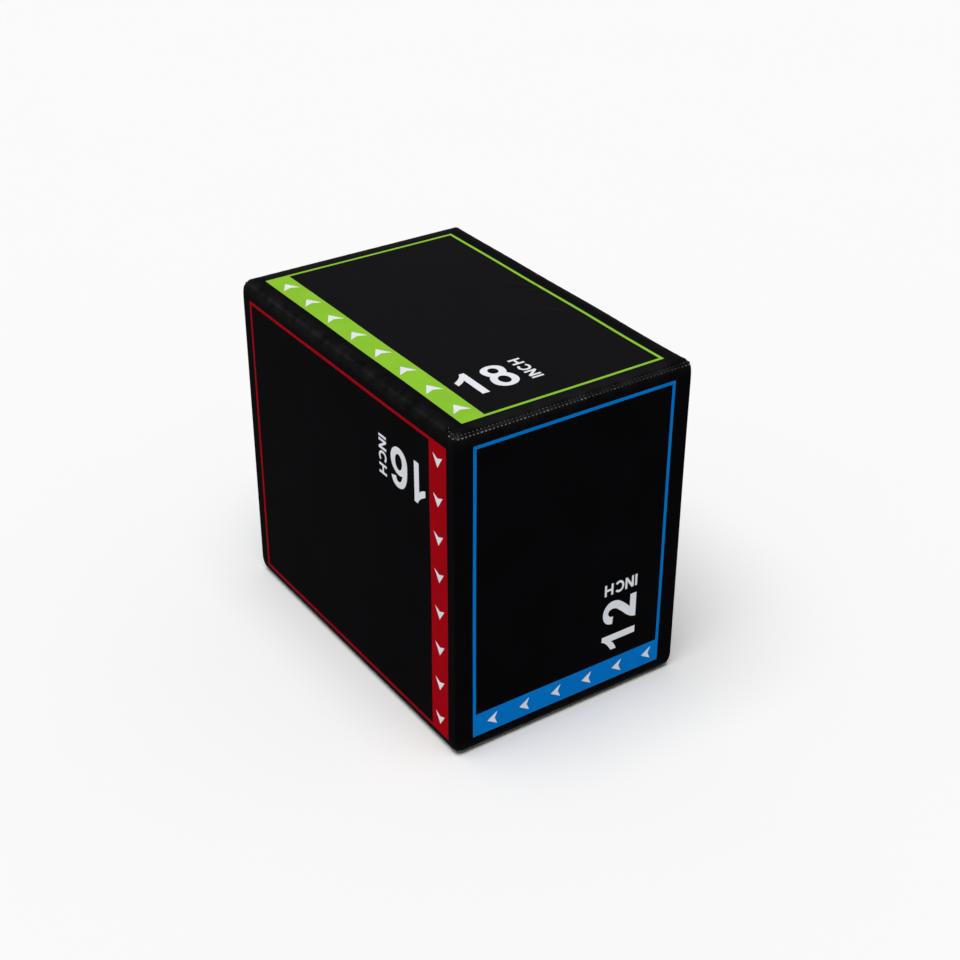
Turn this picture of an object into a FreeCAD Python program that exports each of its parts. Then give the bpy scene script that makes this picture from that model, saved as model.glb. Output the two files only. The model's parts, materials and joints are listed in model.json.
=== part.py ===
import FreeCAD, Part
import os
import re

# A padded jump box with three heights: a screwed plywood carcass, foam sheets on its six
# faces and a sewn vinyl cover. The back of the cover is a flap that is zipped round three
# sides and folds about its uncut top edge.
# Lengths are in millimetres. The origin is the middle of the underside. X runs to the right
# across the front face, Y runs from front to back and Z runs up.

SIZES = {
    # The finished box, measured over the cover
    "box_width": 304.8,
    "box_depth": 457.2,
    "box_height": 406.4,
    "edge_round": 10.0,
    # Cover, padding and carcass
    "vinyl_thick": 0.9,
    "foam_slack": 0.3,
    "foam_thick": 25.0,
    "ply_thick": 12.0,
    # Wood screws and how they are spread along each joint
    "screw_head": 8.0,
    "screw_shank": 4.0,
    "screw_length": 32.0,
    "screw_point": 5.0,
    "screw_fit": 0.05,
    "screw_corner_room": 40.0,
    # Zip: the flat lip of vinyl outside it, its round corners, its tape and its teeth
    "lip_flat": 3.0,
    "chain_corner": 17.0,
    "tape_thick": 0.5,
    "flap_hem": 7.0,
    "tooth_reach": 2.0,
    "tooth_height": 0.8,
    "stop_length": 2.0,
    "fold_split": 0.4,
    # Slider and pull tab
    "running_gap": 0.3,
    "slider_length": 12.0,
    "slider_plate": 1.2,
    "slider_floor": 0.8,
    "slider_flange": 0.8,
    "slider_web": 0.6,
    "slider_web_length": 4.0,
    "slider_corner": 1.6,
    "arch_width": 1.6,
    "arch_length": 6.4,
    "arch_thick": 0.9,
    "pull_bar": 1.0,
    "pull_width": 6.4,
    "pull_length": 22.0,
    "pull_corner": 2.2,
    "pull_hole": 3.0,
    "pull_park": 6.0,
    # How far a cutting or dividing shape runs past what it cuts
    "overrun": 1.0,
}

doc = FreeCAD.newDocument("plyo_box")
sheet = doc.addObject("Spreadsheet::Sheet", "sizes")
for row, (alias, length) in enumerate(SIZES.items(), start=1):
    sheet.set(f"A{row}", alias)
    sheet.set(f"B{row}", str(length))
    sheet.setAlias(f"B{row}", alias)
doc.recompute()

# Lengths that follow from the sizes
skin = "(vinyl_thick + foam_slack)"
wall = "(vinyl_thick + foam_slack + foam_thick)"
back_ease = "(vinyl_thick + tape_thick + slider_floor + 2 * running_gap)"
back_wall = f"({back_ease} + foam_thick)"
chain_split = "(slider_web + 2 * running_gap)"
gap_half = f"({chain_split} / 2 + tooth_reach + slider_flange + 2 * running_gap)"
lip = "(edge_round + lip_flat)"
chain_inset = f"({lip} + {gap_half})"
chain_x = f"(box_width / 2 - {chain_inset})"
flap_inset = f"({chain_inset} + {gap_half})"
outer_half_inset = f"({chain_inset} - {chain_split} / 2)"
inner_half_inset = f"({chain_inset} + {chain_split} / 2)"
slot_top = f"(box_height - {lip})"
stop_top = f"({slot_top} - {gap_half} / 2)"
teeth_top = f"({stop_top} - stop_length - running_gap)"
bar_height = f"({teeth_top} - slider_length / 2)"
fold_height = f"({bar_height} - pull_length - pull_park)"
tape_top = "(box_height - edge_round - foam_slack)"

# Levels at the back face, outward from its plane
tape_outer_level = "(-vinyl_thick)"
tape_inner_level = "(-vinyl_thick - tape_thick)"
tooth_level = "(tooth_height - vinyl_thick)"
plate_level = f"({tooth_level} + running_gap)"
plate_top_level = f"({plate_level} + slider_plate)"
bar_level = f"({plate_top_level} + running_gap + pull_bar / 2)"
arch_top_level = f"({bar_level} + pull_bar / 2 + running_gap + arch_thick)"
floor_top_level = f"({tape_inner_level} - running_gap)"
floor_level = f"({floor_top_level} - slider_floor)"


def named(expression):
    """The expression with each size pointed at its cell of the sheet."""
    return re.sub(r"[a-z_]+", lambda word: f"sizes.{word.group()}", expression)


def bind(item, **expressions):
    """Tie properties of an object to expressions in the named sizes."""
    for name, expression in expressions.items():
        item.setExpression(name, named(expression))


def set_place(item, x="0", y="0", z="0"):
    """Tie an object's position to expressions in the named sizes."""
    for axis, expression in (("x", x), ("y", y), ("z", z)):
        item.setExpression(f"Placement.Base.{axis}", named(expression))


def between(low, high):
    return f"({high}) - ({low})"


def across(inset):
    """The span of X that keeps an inset from both sides of the box."""
    return (f"-box_width / 2 + {inset}", f"box_width / 2 - {inset}")


def along(front_inset, back_inset):
    """The span of Y between an inset from the front and one from the back."""
    return (f"-box_depth / 2 + {front_inset}", f"box_depth / 2 - {back_inset}")


def upright(inset):
    """The span of Z that keeps an inset from the underside and the top."""
    return (inset, f"box_height - {inset}")


def behind(low_level, high_level):
    """The span of Y between two levels at the back face."""
    return (f"box_depth / 2 + {low_level}", f"box_depth / 2 + {high_level}")


def new_body(label):
    body = doc.addObject("PartDesign::Body", label)
    body.Label = label
    return body


def block(body, kind, spans):
    """A block of a body, added or taken away, that fills a span of X, Y and Z."""
    feature = body.newObject(f"PartDesign::{kind}Box", f"{body.Name}_block")
    sides = {"Length": spans[0], "Width": spans[1], "Height": spans[2]}
    bind(feature, **{side: between(*span) for side, span in sides.items()})
    set_place(feature, *(span[0] for span in spans))
    doc.recompute()
    return feature


def soften(body, radius, corners="every"):
    """Round every edge of a body so far, or only its corners seen from the back: low, high or all."""
    tip = body.Tip
    middle_height = tip.Shape.BoundBox.Center.z
    names = []
    for number, edge in enumerate(tip.Shape.Edges, start=1):
        start, end = (vertex.Point for vertex in edge.Vertexes)
        is_corner = start.x == end.x and start.z == end.z
        place = "high" if start.z > middle_height else "low"
        if corners == "every" or is_corner and corners in ("all", place):
            names.append(f"Edge{number}")
    rounding = body.newObject("PartDesign::Fillet", f"{body.Name}_rounding")
    rounding.Base = (tip, names)
    bind(rounding, Radius=radius)
    doc.recompute()
    return rounding


def plain_block(label, spans):
    """A square-edged block that is a document object by itself."""
    item = doc.addObject("Part::Box", label)
    item.Label = label
    bind(item, Length=between(*spans[0]), Width=between(*spans[1]), Height=between(*spans[2]))
    set_place(item, *(span[0] for span in spans))
    return item


def pair(kind, label, base, tool):
    """The part of base that is inside tool (Common) or outside it (Cut)."""
    item = doc.addObject(f"Part::{kind}", label)
    item.Label = label
    item.Base = base
    item.Tool = tool
    doc.recompute()
    return item


def joined(kind, label, shapes):
    """Several shapes as one solid (MultiFuse) or as a group of solids (Compound)."""
    item = doc.addObject(f"Part::{kind}", label)
    item.Label = label
    setattr(item, "Links" if kind == "Compound" else "Shapes", shapes)
    doc.recompute()
    return item


def rounded_box(label, inset, back_inset, radius):
    """The box drawn in by an inset all round, with all its edges rounded."""
    body = new_body(label)
    block(body, "Additive", (across(inset), along(inset, back_inset), upright(inset)))
    soften(body, radius)
    return body


def low_corner_block(label, inset, top, levels):
    """A block at the back face, open at the top, with its two lower corners rounded."""
    body = new_body(label)
    block(body, "Additive", (across(inset), behind(*levels), (inset, top)))
    soften(body, f"chain_corner + {chain_inset} - {inset}", "low")
    return body


def u_strip(label, near, far, top, levels):
    """A strip round three sides of the back face, between two insets from its edges."""
    loose_levels = (f"{levels[0]} - overrun", f"{levels[1]} + overrun")
    outside = low_corner_block(f"{label}_outside", near, top, levels)
    inside = low_corner_block(f"{label}_inside", far, f"{top} + overrun", loose_levels)
    return pair("Cut", label, outside, inside)


# Cover: a rounded shell divided along its edges by mitre planes into six panels
def mitre(label, size_u, size_v, turn, place):
    """A frustum over one face, whose slanting sides are the seams at that face's edges."""
    item = doc.addObject("Part::Wedge", label)
    bind(item, Ymin="-edge_round", Ymax="overrun")
    for axis, size in (("X", size_u), ("Z", size_v)):
        bind(item, **{f"{axis}min": f"edge_round - {size} / 2", f"{axis}max": f"{size} / 2 - edge_round"})
        bind(item, **{f"{axis}2min": f"-overrun - {size} / 2", f"{axis}2max": f"{size} / 2 + overrun"})
    item.Placement.Rotation = turn
    set_place(item, *place)
    return item


x_axis = FreeCAD.Vector(1, 0, 0)
z_axis = FreeCAD.Vector(0, 0, 1)
mid_height = "box_height / 2"
FACES = {
    "top": ("box_width", "box_depth", FreeCAD.Rotation(x_axis, 90), ("0", "0", "box_height")),
    "bottom": ("box_width", "box_depth", FreeCAD.Rotation(x_axis, -90), ("0", "0", "0")),
    "front": ("box_width", "box_height", FreeCAD.Rotation(z_axis, 180), ("0", "-box_depth / 2", mid_height)),
    "back": ("box_width", "box_height", FreeCAD.Rotation(), ("0", "box_depth / 2", mid_height)),
    "left": ("box_depth", "box_height", FreeCAD.Rotation(z_axis, 90), ("-box_width / 2", "0", mid_height)),
    "right": ("box_depth", "box_height", FreeCAD.Rotation(z_axis, -90), ("box_width / 2", "0", mid_height)),
}
cover_outside = rounded_box("cover_outside", "0", "0", "edge_round")
cover_inside = rounded_box("cover_inside", "vinyl_thick", "vinyl_thick", "edge_round - vinyl_thick")
cover_shell = pair("Cut", "cover_shell", cover_outside, cover_inside)
nodes = []
for face, (size_u, size_v, turn, place) in FACES.items():
    label = "back_blank" if face == "back" else f"cover_{face}_panel"
    panel = pair("Common", label, cover_shell, mitre(f"{face}_mitre", size_u, size_v, turn, place))
    if face == "back":
        back_blank = panel
    else:
        nodes.append(panel)

# Back panel: the blank with a window for the flap and a slot for each end of the zip
through = ("-vinyl_thick - overrun", "overrun")
window = low_corner_block("window", lip, f"{fold_height} + fold_split / 2", through)
openings = [window]
for side, sign in (("left", "-"), ("right", "")):
    slot = new_body(f"{side}_slot")
    slot_span = (f"{sign}{chain_x} - {gap_half}", f"{sign}{chain_x} + {gap_half}")
    block(slot, "Additive", (slot_span, behind(*through), (f"{fold_height} - overrun", slot_top)))
    soften(slot, f"{gap_half} - running_gap", "high")
    openings.append(slot)
back_openings = joined("MultiFuse", "back_openings", openings)
nodes.append(pair("Cut", "cover_back_panel", back_blank, back_openings))

# Flap: the part of the back that folds open
flap_top = f"({fold_height} - fold_split / 2)"
flap = low_corner_block("back_flap", flap_inset, flap_top, ("-vinyl_thick", "0"))
nodes.append(flap)

# Zip: tape behind the vinyl on both sides of the gap, with teeth along the facing edges
tape_levels = (tape_inner_level, tape_outer_level)
tooth_levels = (tape_outer_level, tooth_level)
tape_near = "(edge_round + foam_slack)"
tape_far = f"({flap_inset} + flap_hem)"
tooth_near = f"({outer_half_inset} - tooth_reach)"
tooth_far = f"({inner_half_inset} + tooth_reach)"
nodes.append(u_strip("zip_tape_outer", tape_near, outer_half_inset, tape_top, tape_levels))
nodes.append(u_strip("zip_teeth_outer", tooth_near, outer_half_inset, teeth_top, tooth_levels))
nodes.append(u_strip("zip_tape_inner", inner_half_inset, tape_far, flap_top, tape_levels))
nodes.append(u_strip("zip_teeth_inner", inner_half_inset, tooth_far, flap_top, tooth_levels))


def end_strips(label, near, far, top, levels):
    """The two short strips that carry the flap's half of the zip on above the fold."""
    height = (f"{fold_height} + fold_split / 2", top)
    left = (f"-box_width / 2 + {near}", f"-box_width / 2 + {far}")
    right = (f"box_width / 2 - {far}", f"box_width / 2 - {near}")
    strips = [
        plain_block(f"{label}_{side}", (span, behind(*levels), height))
        for side, span in (("left", left), ("right", right))
    ]
    return joined("Compound", label, strips)


nodes.append(end_strips("zip_tape_ends", inner_half_inset, tape_far, tape_top, tape_levels))
nodes.append(end_strips("zip_teeth_ends", inner_half_inset, tooth_far, teeth_top, tooth_levels))

# Stops: one bridge where the zip starts, at the left, and one on each half where it ends
stop_height = (f"{stop_top} - stop_length", stop_top)
chain_half = f"({chain_split} / 2 + tooth_reach)"
stop_spans = {
    "start_stop": (f"-{chain_x} - {chain_half}", f"-{chain_x} + {chain_half}"),
    "end_stop_outer": (f"{chain_x} + {chain_split} / 2", f"{chain_x} + {chain_half}"),
    "end_stop_inner": (f"{chain_x} - {chain_half}", f"{chain_x} - {chain_split} / 2"),
}
stops = [
    plain_block(label, (span, behind(*tooth_levels), stop_height))
    for label, span in stop_spans.items()
]
nodes.append(joined("Compound", "zip_stops", stops))


# Slider: two plates joined by a web that runs between the rows of teeth, and an arch for the tab
def around_chain(half):
    return (f"{chain_x} - {half}", f"{chain_x} + {half}")


def around_bar(half):
    return (f"{bar_height} - {half}", f"{bar_height} + {half}")


slider = new_body("zip_slider")
slider_half = f"({chain_half} + running_gap + slider_flange)"
slider_high = around_bar("slider_length / 2")
flange_low = f"({tape_outer_level} + running_gap)"
web_height = (f"{slider_high[1]} - slider_web_length", slider_high[1])
arch_hole_top = f"({arch_top_level} - arch_thick)"
block(slider, "Additive", (around_chain(slider_half), behind(flange_low, plate_top_level), slider_high))
soften(slider, "slider_corner", "all")
chain_room = around_chain(f"({chain_half} + running_gap)")
long_height = around_bar("(slider_length / 2 + overrun)")
block(slider, "Subtractive", (chain_room, behind(f"{flange_low} - overrun", plate_level), long_height))
web_levels = (floor_top_level, plate_level)
block(slider, "Additive", (around_chain("slider_web / 2"), behind(*web_levels), web_height))
block(slider, "Additive", (around_chain(chain_half), behind(floor_level, floor_top_level), slider_high))
arch_span = around_chain("arch_width / 2")
arch_levels = (plate_top_level, arch_top_level)
block(slider, "Additive", (arch_span, behind(*arch_levels), around_bar("arch_length / 2")))
arch_hole_levels = (plate_top_level, arch_hole_top)
arch_hole_height = around_bar("(arch_length / 2 - arch_thick)")
arch_hole_span = around_chain("(arch_width / 2 + overrun)")
block(slider, "Subtractive", (arch_hole_span, behind(*arch_hole_levels), arch_hole_height))
nodes.append(slider)

# Pull tab: a flat tab that hangs from a round bar held under the arch
pull = new_body("zip_pull")
pull_levels = (f"{bar_level} - pull_bar / 2", f"{bar_level} + pull_bar / 2")
loose_pull_levels = (f"{pull_levels[0]} - overrun", f"{pull_levels[1]} + overrun")
pull_span = around_chain("pull_width / 2")
pull_low = f"({bar_height} - pull_length)"
block(pull, "Additive", (pull_span, behind(*pull_levels), (pull_low, bar_height)))
soften(pull, "pull_corner", "low")
eye_span = around_chain("(arch_width / 2 + running_gap)")
eye_height = (f"{bar_height} - arch_length / 2 - arch_thick - running_gap", bar_height)
block(pull, "Subtractive", (eye_span, behind(*loose_pull_levels), eye_height))
grip_hole = pull.newObject("PartDesign::SubtractiveCylinder", "pull_grip_hole")
bind(grip_hole, Radius="pull_hole / 2", Height="pull_bar + 2 * overrun")
grip_hole.Placement.Rotation = FreeCAD.Rotation(x_axis, -90)
set_place(grip_hole, chain_x, behind(*loose_pull_levels)[0], f"{pull_low} + pull_width / 2")
bar = pull.newObject("PartDesign::AdditiveCylinder", "pull_bar_rod")
bind(bar, Radius="pull_bar / 2", Height="pull_width")
bar.Placement.Rotation = FreeCAD.Rotation(FreeCAD.Vector(0, 1, 0), 90)
set_place(bar, pull_span[0], f"box_depth / 2 + {bar_level}", bar_height)
doc.recompute()
nodes.append(pull)

# Padding: the rounded space inside the cover, divided into six sheets with butted edges
padding = rounded_box("padding", skin, back_ease, "edge_round - vinyl_thick - foam_slack")
inside_top = f"(box_height - {wall})"
padding_width = across(skin)
padding_depth = along(skin, back_ease)
core_width = across(wall)
core_depth = along(wall, back_wall)
core_height = upright(wall)
SHEETS = {
    "foam_top": (padding_width, padding_depth, (inside_top, f"box_height - {skin}")),
    "foam_bottom": (padding_width, padding_depth, (skin, wall)),
    "foam_front": (padding_width, (padding_depth[0], core_depth[0]), core_height),
    "foam_back": (padding_width, (core_depth[1], padding_depth[1]), core_height),
    "foam_left": ((padding_width[0], core_width[0]), core_depth, core_height),
    "foam_right": ((core_width[1], padding_width[1]), core_depth, core_height),
}
for label, spans in SHEETS.items():
    nodes.append(pair("Common", label, padding, plain_block(f"{label}_room", spans)))

# Carcass: two full sides, a top and a bottom between them, then front, back and centre brace
bay_width = across(f"({wall} + ply_thick)")
bay_height = upright(f"({wall} + ply_thick)")
bay_middle = f"(({core_depth[0]} + {core_depth[1]}) / 2)"
brace_depth = (f"{bay_middle} - ply_thick / 2", f"{bay_middle} + ply_thick / 2")
BOARDS = {
    "ply_left": ((core_width[0], bay_width[0]), core_depth, core_height),
    "ply_right": ((bay_width[1], core_width[1]), core_depth, core_height),
    "ply_top": (bay_width, core_depth, (bay_height[1], core_height[1])),
    "ply_bottom": (bay_width, core_depth, (core_height[0], bay_height[0])),
    "ply_front": (bay_width, (core_depth[0], f"{core_depth[0]} + ply_thick"), bay_height),
    "ply_back": (bay_width, (f"{core_depth[1]} - ply_thick", core_depth[1]), bay_height),
    "centre_brace": (bay_width, brace_depth, bay_height),
}


# Screws: each line of screws goes through the face of one board into the edge of another
def screw_body(label, fit, extra=()):
    """A countersunk screw along -Z with its head at the origin, grown all round by a fit."""
    head = doc.addObject("Part::Cone", f"{label}_head")
    bind(head, Radius1=f"screw_shank / 2 + {fit}", Radius2=f"screw_head / 2 + {fit}")
    bind(head, Height="(screw_head - screw_shank) / 2")
    set_place(head, z="(screw_shank - screw_head) / 2")
    shank = doc.addObject("Part::Cylinder", f"{label}_shank")
    bind(shank, Radius=f"screw_shank / 2 + {fit}")
    bind(shank, Height="screw_length - screw_point - (screw_head - screw_shank) / 2")
    set_place(shank, z="screw_point - screw_length")
    point = doc.addObject("Part::Cone", f"{label}_point")
    bind(point, Radius1="0", Radius2=f"screw_shank / 2 + {fit}", Height=f"screw_point + {fit}")
    set_place(point, z=f"-screw_length - {fit}")
    return joined("MultiFuse", label, [head, shank, point, *extra])


screw = screw_body("screw", "0")
screw_mouth = doc.addObject("Part::Cylinder", "screw_mouth")
bind(screw_mouth, Radius="screw_head / 2 + screw_fit", Height="overrun")
screw_room = screw_body("screw_room", "screw_fit", [screw_mouth])
boards = {label: plain_block(f"{label}_blank", spans) for label, spans in BOARDS.items()}
doc.recompute()
corner_room = sheet.get("screw_corner_room")
spread_shares = (0, 1 / 2, 1)
end_shares = (0, 1)


def line_of(board, axis, shares):
    """Points along the middle of a board's edge, spread by shares between its corner rooms."""
    bounds = board.Shape.BoundBox
    low = FreeCAD.Vector(bounds.XMin, bounds.YMin, bounds.ZMin)
    high = FreeCAD.Vector(bounds.XMax, bounds.YMax, bounds.ZMax)
    points = []
    for share in shares:
        point = (low + high) / 2
        start = getattr(low, axis) + corner_room
        setattr(point, axis, start + share * (getattr(high, axis) - corner_room - start))
        points.append(point)
    return points


def screw_places(face_board, axis, side):
    """Where screws go through a face board: on its outer face, along each edge it covers."""
    lines = {
        "x": [("ply_top", "y", spread_shares), ("ply_bottom", "y", spread_shares)]
        + [(label, "z", end_shares) for label in ("ply_front", "ply_back", "centre_brace")],
        "z": [(label, "x", end_shares) for label in ("ply_front", "ply_back", "centre_brace")],
    }[axis]
    bounds = boards[face_board].Shape.BoundBox
    face = getattr(bounds, f"{axis.upper()}{'Max' if side > 0 else 'Min'}")
    outward = FreeCAD.Vector()
    setattr(outward, axis, side)
    turn = FreeCAD.Rotation(z_axis, outward)
    places = []
    for label, run, shares in lines:
        for point in line_of(boards[label], run, shares):
            setattr(point, axis, face)
            places.append(FreeCAD.Placement(point, turn))
    return places


def set_screws(label, source, places):
    """A group of copies of one screw at its places."""
    item = doc.addObject("Part::Feature", label)
    item.Label = label
    copies = []
    for place in places:
        copy = source.Shape.copy()
        copy.Placement = place
        copies.append(copy)
    item.Shape = Part.makeCompound(copies)
    return item


SCREWED = {
    "screws_left": ("ply_left", "x", -1),
    "screws_right": ("ply_right", "x", 1),
    "screws_top": ("ply_top", "z", 1),
    "screws_bottom": ("ply_bottom", "z", -1),
}
all_places = []
for label, (face_board, axis, side) in SCREWED.items():
    places = screw_places(face_board, axis, side)
    nodes.append(set_screws(label, screw, places))
    all_places.extend(places)
screw_holes = set_screws("screw_holes", screw_room, all_places)
for label, blank in boards.items():
    nodes.append(pair("Cut", label, blank, screw_holes))
doc.recompute()

# Each object has to be sound, and each piece a group of closed solids, before anything is written
for item in doc.Objects:
    if "Invalid" in item.State or "Error" in item.State:
        raise RuntimeError(f"{item.Label} failed to build: {item.State}")
for item in nodes:
    shape = item.Shape
    if shape.isNull() or not shape.isValid() or not shape.Solids:
        raise RuntimeError(f"{item.Label} has no sound solid")
    if any(not solid.isClosed() or solid.Volume <= 0 for solid in shape.Solids):
        raise RuntimeError(f"{item.Label} has an open solid")

os.makedirs("parts", exist_ok=True)
for item in nodes:
    item.Shape.exportStep(os.path.join("parts", f"{item.Label}.step"))
    print(f"{item.Label}: {len(item.Shape.Solids)} solids, {item.Shape.Volume:.1f} mm3")
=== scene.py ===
"""Dresses the packed plyo box: the sewn vinyl cover with its prints and stitches, the zip in its back, the
foam and plywood inside it, and the stage. Lengths are in metres, written as millimetres times MM."""

import json
import math
from collections import namedtuple

import bpy
import numpy as np
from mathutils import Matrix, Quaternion, Vector


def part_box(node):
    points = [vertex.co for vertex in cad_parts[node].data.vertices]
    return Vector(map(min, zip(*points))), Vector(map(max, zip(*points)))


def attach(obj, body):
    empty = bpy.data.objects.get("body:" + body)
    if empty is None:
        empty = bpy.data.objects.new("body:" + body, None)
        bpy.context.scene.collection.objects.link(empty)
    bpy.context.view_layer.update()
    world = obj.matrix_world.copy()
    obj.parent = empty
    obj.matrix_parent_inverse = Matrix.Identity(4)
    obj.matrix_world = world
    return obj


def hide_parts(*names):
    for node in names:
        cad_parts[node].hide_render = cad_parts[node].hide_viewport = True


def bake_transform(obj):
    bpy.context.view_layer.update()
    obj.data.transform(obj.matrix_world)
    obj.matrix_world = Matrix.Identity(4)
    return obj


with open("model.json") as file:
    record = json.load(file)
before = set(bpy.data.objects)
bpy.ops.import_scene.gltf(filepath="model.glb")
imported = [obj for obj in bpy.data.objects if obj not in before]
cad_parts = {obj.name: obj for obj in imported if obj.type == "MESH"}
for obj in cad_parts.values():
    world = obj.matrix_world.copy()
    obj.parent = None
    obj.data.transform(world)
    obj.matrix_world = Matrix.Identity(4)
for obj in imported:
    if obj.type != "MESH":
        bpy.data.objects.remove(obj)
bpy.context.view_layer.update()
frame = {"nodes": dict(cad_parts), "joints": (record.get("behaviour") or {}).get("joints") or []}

bl_info = {
    "name": "Plyo box dressing",
    "version": (1, 0, 0),
    "blender": (4, 5, 0),
    "location": "View3D > Sidebar > Plyo box",
    "description": "Builds the cover, prints, stitches, zip, padding and stage round the packed plyo box",
    "category": "Object",
}

MM = 0.001

# Sizes of the solids, read from the frame
LOW_SIDES, HIGH_SIDES = ("left", "front", "bottom"), ("right", "back", "top")
BOX_LOW = np.array([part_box(f"cover_{name}_panel")[0][k] for k, name in enumerate(LOW_SIDES)])
BOX_HIGH = np.array([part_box(f"cover_{name}_panel")[1][k] for k, name in enumerate(HIGH_SIDES)])
FOAM_LOW = np.array([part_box(f"foam_{name}")[0][k] for k, name in enumerate(LOW_SIDES)])
FOAM_HIGH = np.array([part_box(f"foam_{name}")[1][k] for k, name in enumerate(HIGH_SIDES)])
VINYL_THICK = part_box("back_flap")[1].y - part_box("back_flap")[0].y
FOLD_HEIGHT = next(joint["pos_m"][2] for joint in frame["joints"] if joint["name"] == "flap_fold")
ZIP_INSET = BOX_HIGH[0] - (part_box("zip_slider")[0].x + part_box("zip_slider")[1].x) / 2
TEETH_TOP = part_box("zip_teeth_outer")[1].z
TAPE_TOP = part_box("zip_tape_outer")[1].z
TAPE_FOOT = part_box("zip_tape_outer")[0].y - BOX_HIGH[1]
TAPE_EDGE = BOX_HIGH[0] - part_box("zip_tape_outer")[1].x

# Sizes of the solids that their boxes don't tell
EDGE_ROUND = 10.0 * MM
ZIP_CORNER = 17.0 * MM
ZIP_TURN = ZIP_INSET + ZIP_CORNER
SLOT_HALF = 4.0 * MM
STOP_ROOM = 2.0 * MM
SLOT_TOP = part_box("zip_stops")[1].z + STOP_ROOM
TAPE_GAP = 0.6 * MM
TAPE_WIDTH = 10.4 * MM
TAPE_OUTER = (TAPE_EDGE, ZIP_INSET - TAPE_GAP)
TAPE_INNER = (ZIP_INSET + TAPE_GAP, ZIP_INSET + TAPE_GAP + TAPE_WIDTH)

# Sizes that only the dressed model has
TAPE_SUNK = 0.12 * MM
TAPE_LEVEL = -VINYL_THICK - TAPE_SUNK
TAPE_RIB = 0.05 * MM
TAPE_RIB_STEP = 1.7 * MM
FOLD_LENGTH = 12.0 * MM
FOAM_ROUND = 3.0 * MM
FOAM_PRESS = 14.0 * MM
FOAM_SLACK = 0.6 * MM
FOAM_STEP = 8.0 * MM
FLOOR_LEVEL = -0.2 * MM

# How far the give of the cover reaches, and how it starts and ends
ROOM_FADE = 60.0 * MM
PUCKER_START = 2.5 * MM
PUCKER_FADE = 7.0 * MM
POLISH_FADE = 5.0 * MM
HEM_EDGE = 0.5 * MM
HEM_ROLL = 1.0 * MM
HEM_ROLL_SHARE = 1.3
FLAP_START = 32.0 * MM
FLAP_FADE = 40.0 * MM
WAVE_COUNT = 6
WAVE_LENGTHS = (110.0 * MM, 260.0 * MM)

# Where the painted top light on the vinyl ends towards the long edges, and where the painted shade on the
# thread starts and ends, from the middle
TOP_LIGHT_END = (120.0 * MM, 136.0 * MM)
THREAD_SHADE_START = (-152.0 * MM, 90.0 * MM)
THREAD_SHADE_END = (136.0 * MM, 144.0 * MM)

# Lengths of the waves that draw a weave, and the depths of the finishes' bumps
KNIT_LOOPS = (1.6 * MM, 1.2 * MM)
THREAD_STRAND = 0.55 * MM
TAPE_TWILL = (1.0 * MM, 0.8 * MM)
VINYL_BUMP = 0.12 * MM
KNIT_BUMP = 0.2 * MM
INK_BUMP = 0.1 * MM
THREAD_BUMP = 0.1 * MM
TAPE_BUMP = 0.2 * MM
TEETH_BUMP = 0.1 * MM
METAL_BUMP = 0.05 * MM
FOAM_BUMP = 0.35 * MM
PLYWOOD_BUMP = 0.2 * MM

# Levels of the printed films over the vinyl
FILM_FOOT = -0.15 * MM
COLOUR_FILM = 0.10 * MM
WHITE_FILM = 0.15 * MM

# How finely the sheets are divided, how close two points are that become one, and the short steps that find
# the heading of a line
WELD = 1e-7
SHEET_STEP = 2.5 * MM
FINE_BAND = 9.0 * MM
FINE_STEPS = 5
ROLL_STEPS = 12
CORNER_STEPS = 12
TAPE_STEPS = 12
LIP_STEPS = 6
SLOT_STEPS = 5
HEAD_STEPS = (88, 15)
ROOF_STEPS = 3
FLAP_STEPS = 79
FLAP_EDGE = np.array([0, 0.4, 0.8, 1.4, 2.2, 3.2, 4.5, 6, 7.2, 8.2, 9, 9.8, 11, 13]) * MM
TURN_STEPS = 8
NEAR = 0.2 * MM
AHEAD = 0.5 * MM

# Seeds of the random draws
WAVE_SEED = 12
STITCH_SEED = 31

FACES = {
    "top": ((1, 0, 0), (0, 1, 0)),
    "bottom": ((1, 0, 0), (0, -1, 0)),
    "front": ((1, 0, 0), (0, 0, 1)),
    "back": ((-1, 0, 0), (0, 0, 1)),
    "left": ((0, -1, 0), (0, 0, 1)),
    "right": ((0, 1, 0), (0, 0, 1)),
}

# The print of each face in millimetres: its ink, where its right and up point on the face, the margins of the
# strip, of the far line, of the foot line and of the head line, the widths of the strip and of the lines, its
# number with that number's corner and scales, and the first tip, step, count and scale of its arrows
Print = namedtuple("Print", "ink right up margins widths number corner scales arrows")
PRINTS = {
    "top": Print(
        "lime", (1, 0), (0, 1), (20.1, 27.4, 20.0, 25.2), (29.7, 3.6),
        "18", (61.4, 59.1), (0.975, 0.985), (56.1, 51.0, 8, 1.08),
    ),
    "front": Print(
        "blue", (0, 1), (-1, 0), (19.0, 20.4, 25.1, 23.6), (29.8, 3.9),
        "12", (61.6, 60.3), (1.0, 0.945), (47.5, 43.3, 6, 0.85),
    ),
    "left": Print(
        "red", (-1, 0), (0, -1), (16.3, 20.6, 23.5, 15.8), (31.9, 3.7),
        "16", (56.1, 63.5), (1.0, 0.985), (50.7, 47.0, 8, 0.91),
    ),
    "bottom": Print(
        "lime", (1, 0), (0, 1), (20.0, 22.0, 21.0, 21.0), (30.0, 3.5),
        "18", (62.0, 60.0), (1.0, 1.0), (56.7, 50.8, 8, 1.0),
    ),
    "back": Print(
        "blue", (0, 1), (-1, 0), (36.0, 68.0, 36.0, 36.0), (30.0, 3.9),
        "12", (79.0, 72.0), (1.0, 0.945), (63.0, 44.2, 5, 0.9),
    ),
    "right": Print(
        "red", (-1, 0), (0, -1), (20.0, 21.0, 21.0, 21.0), (31.0, 3.7),
        "16", (62.0, 60.0), (1.0, 1.0), (53.5, 46.6, 8, 0.95),
    ),
}

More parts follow.
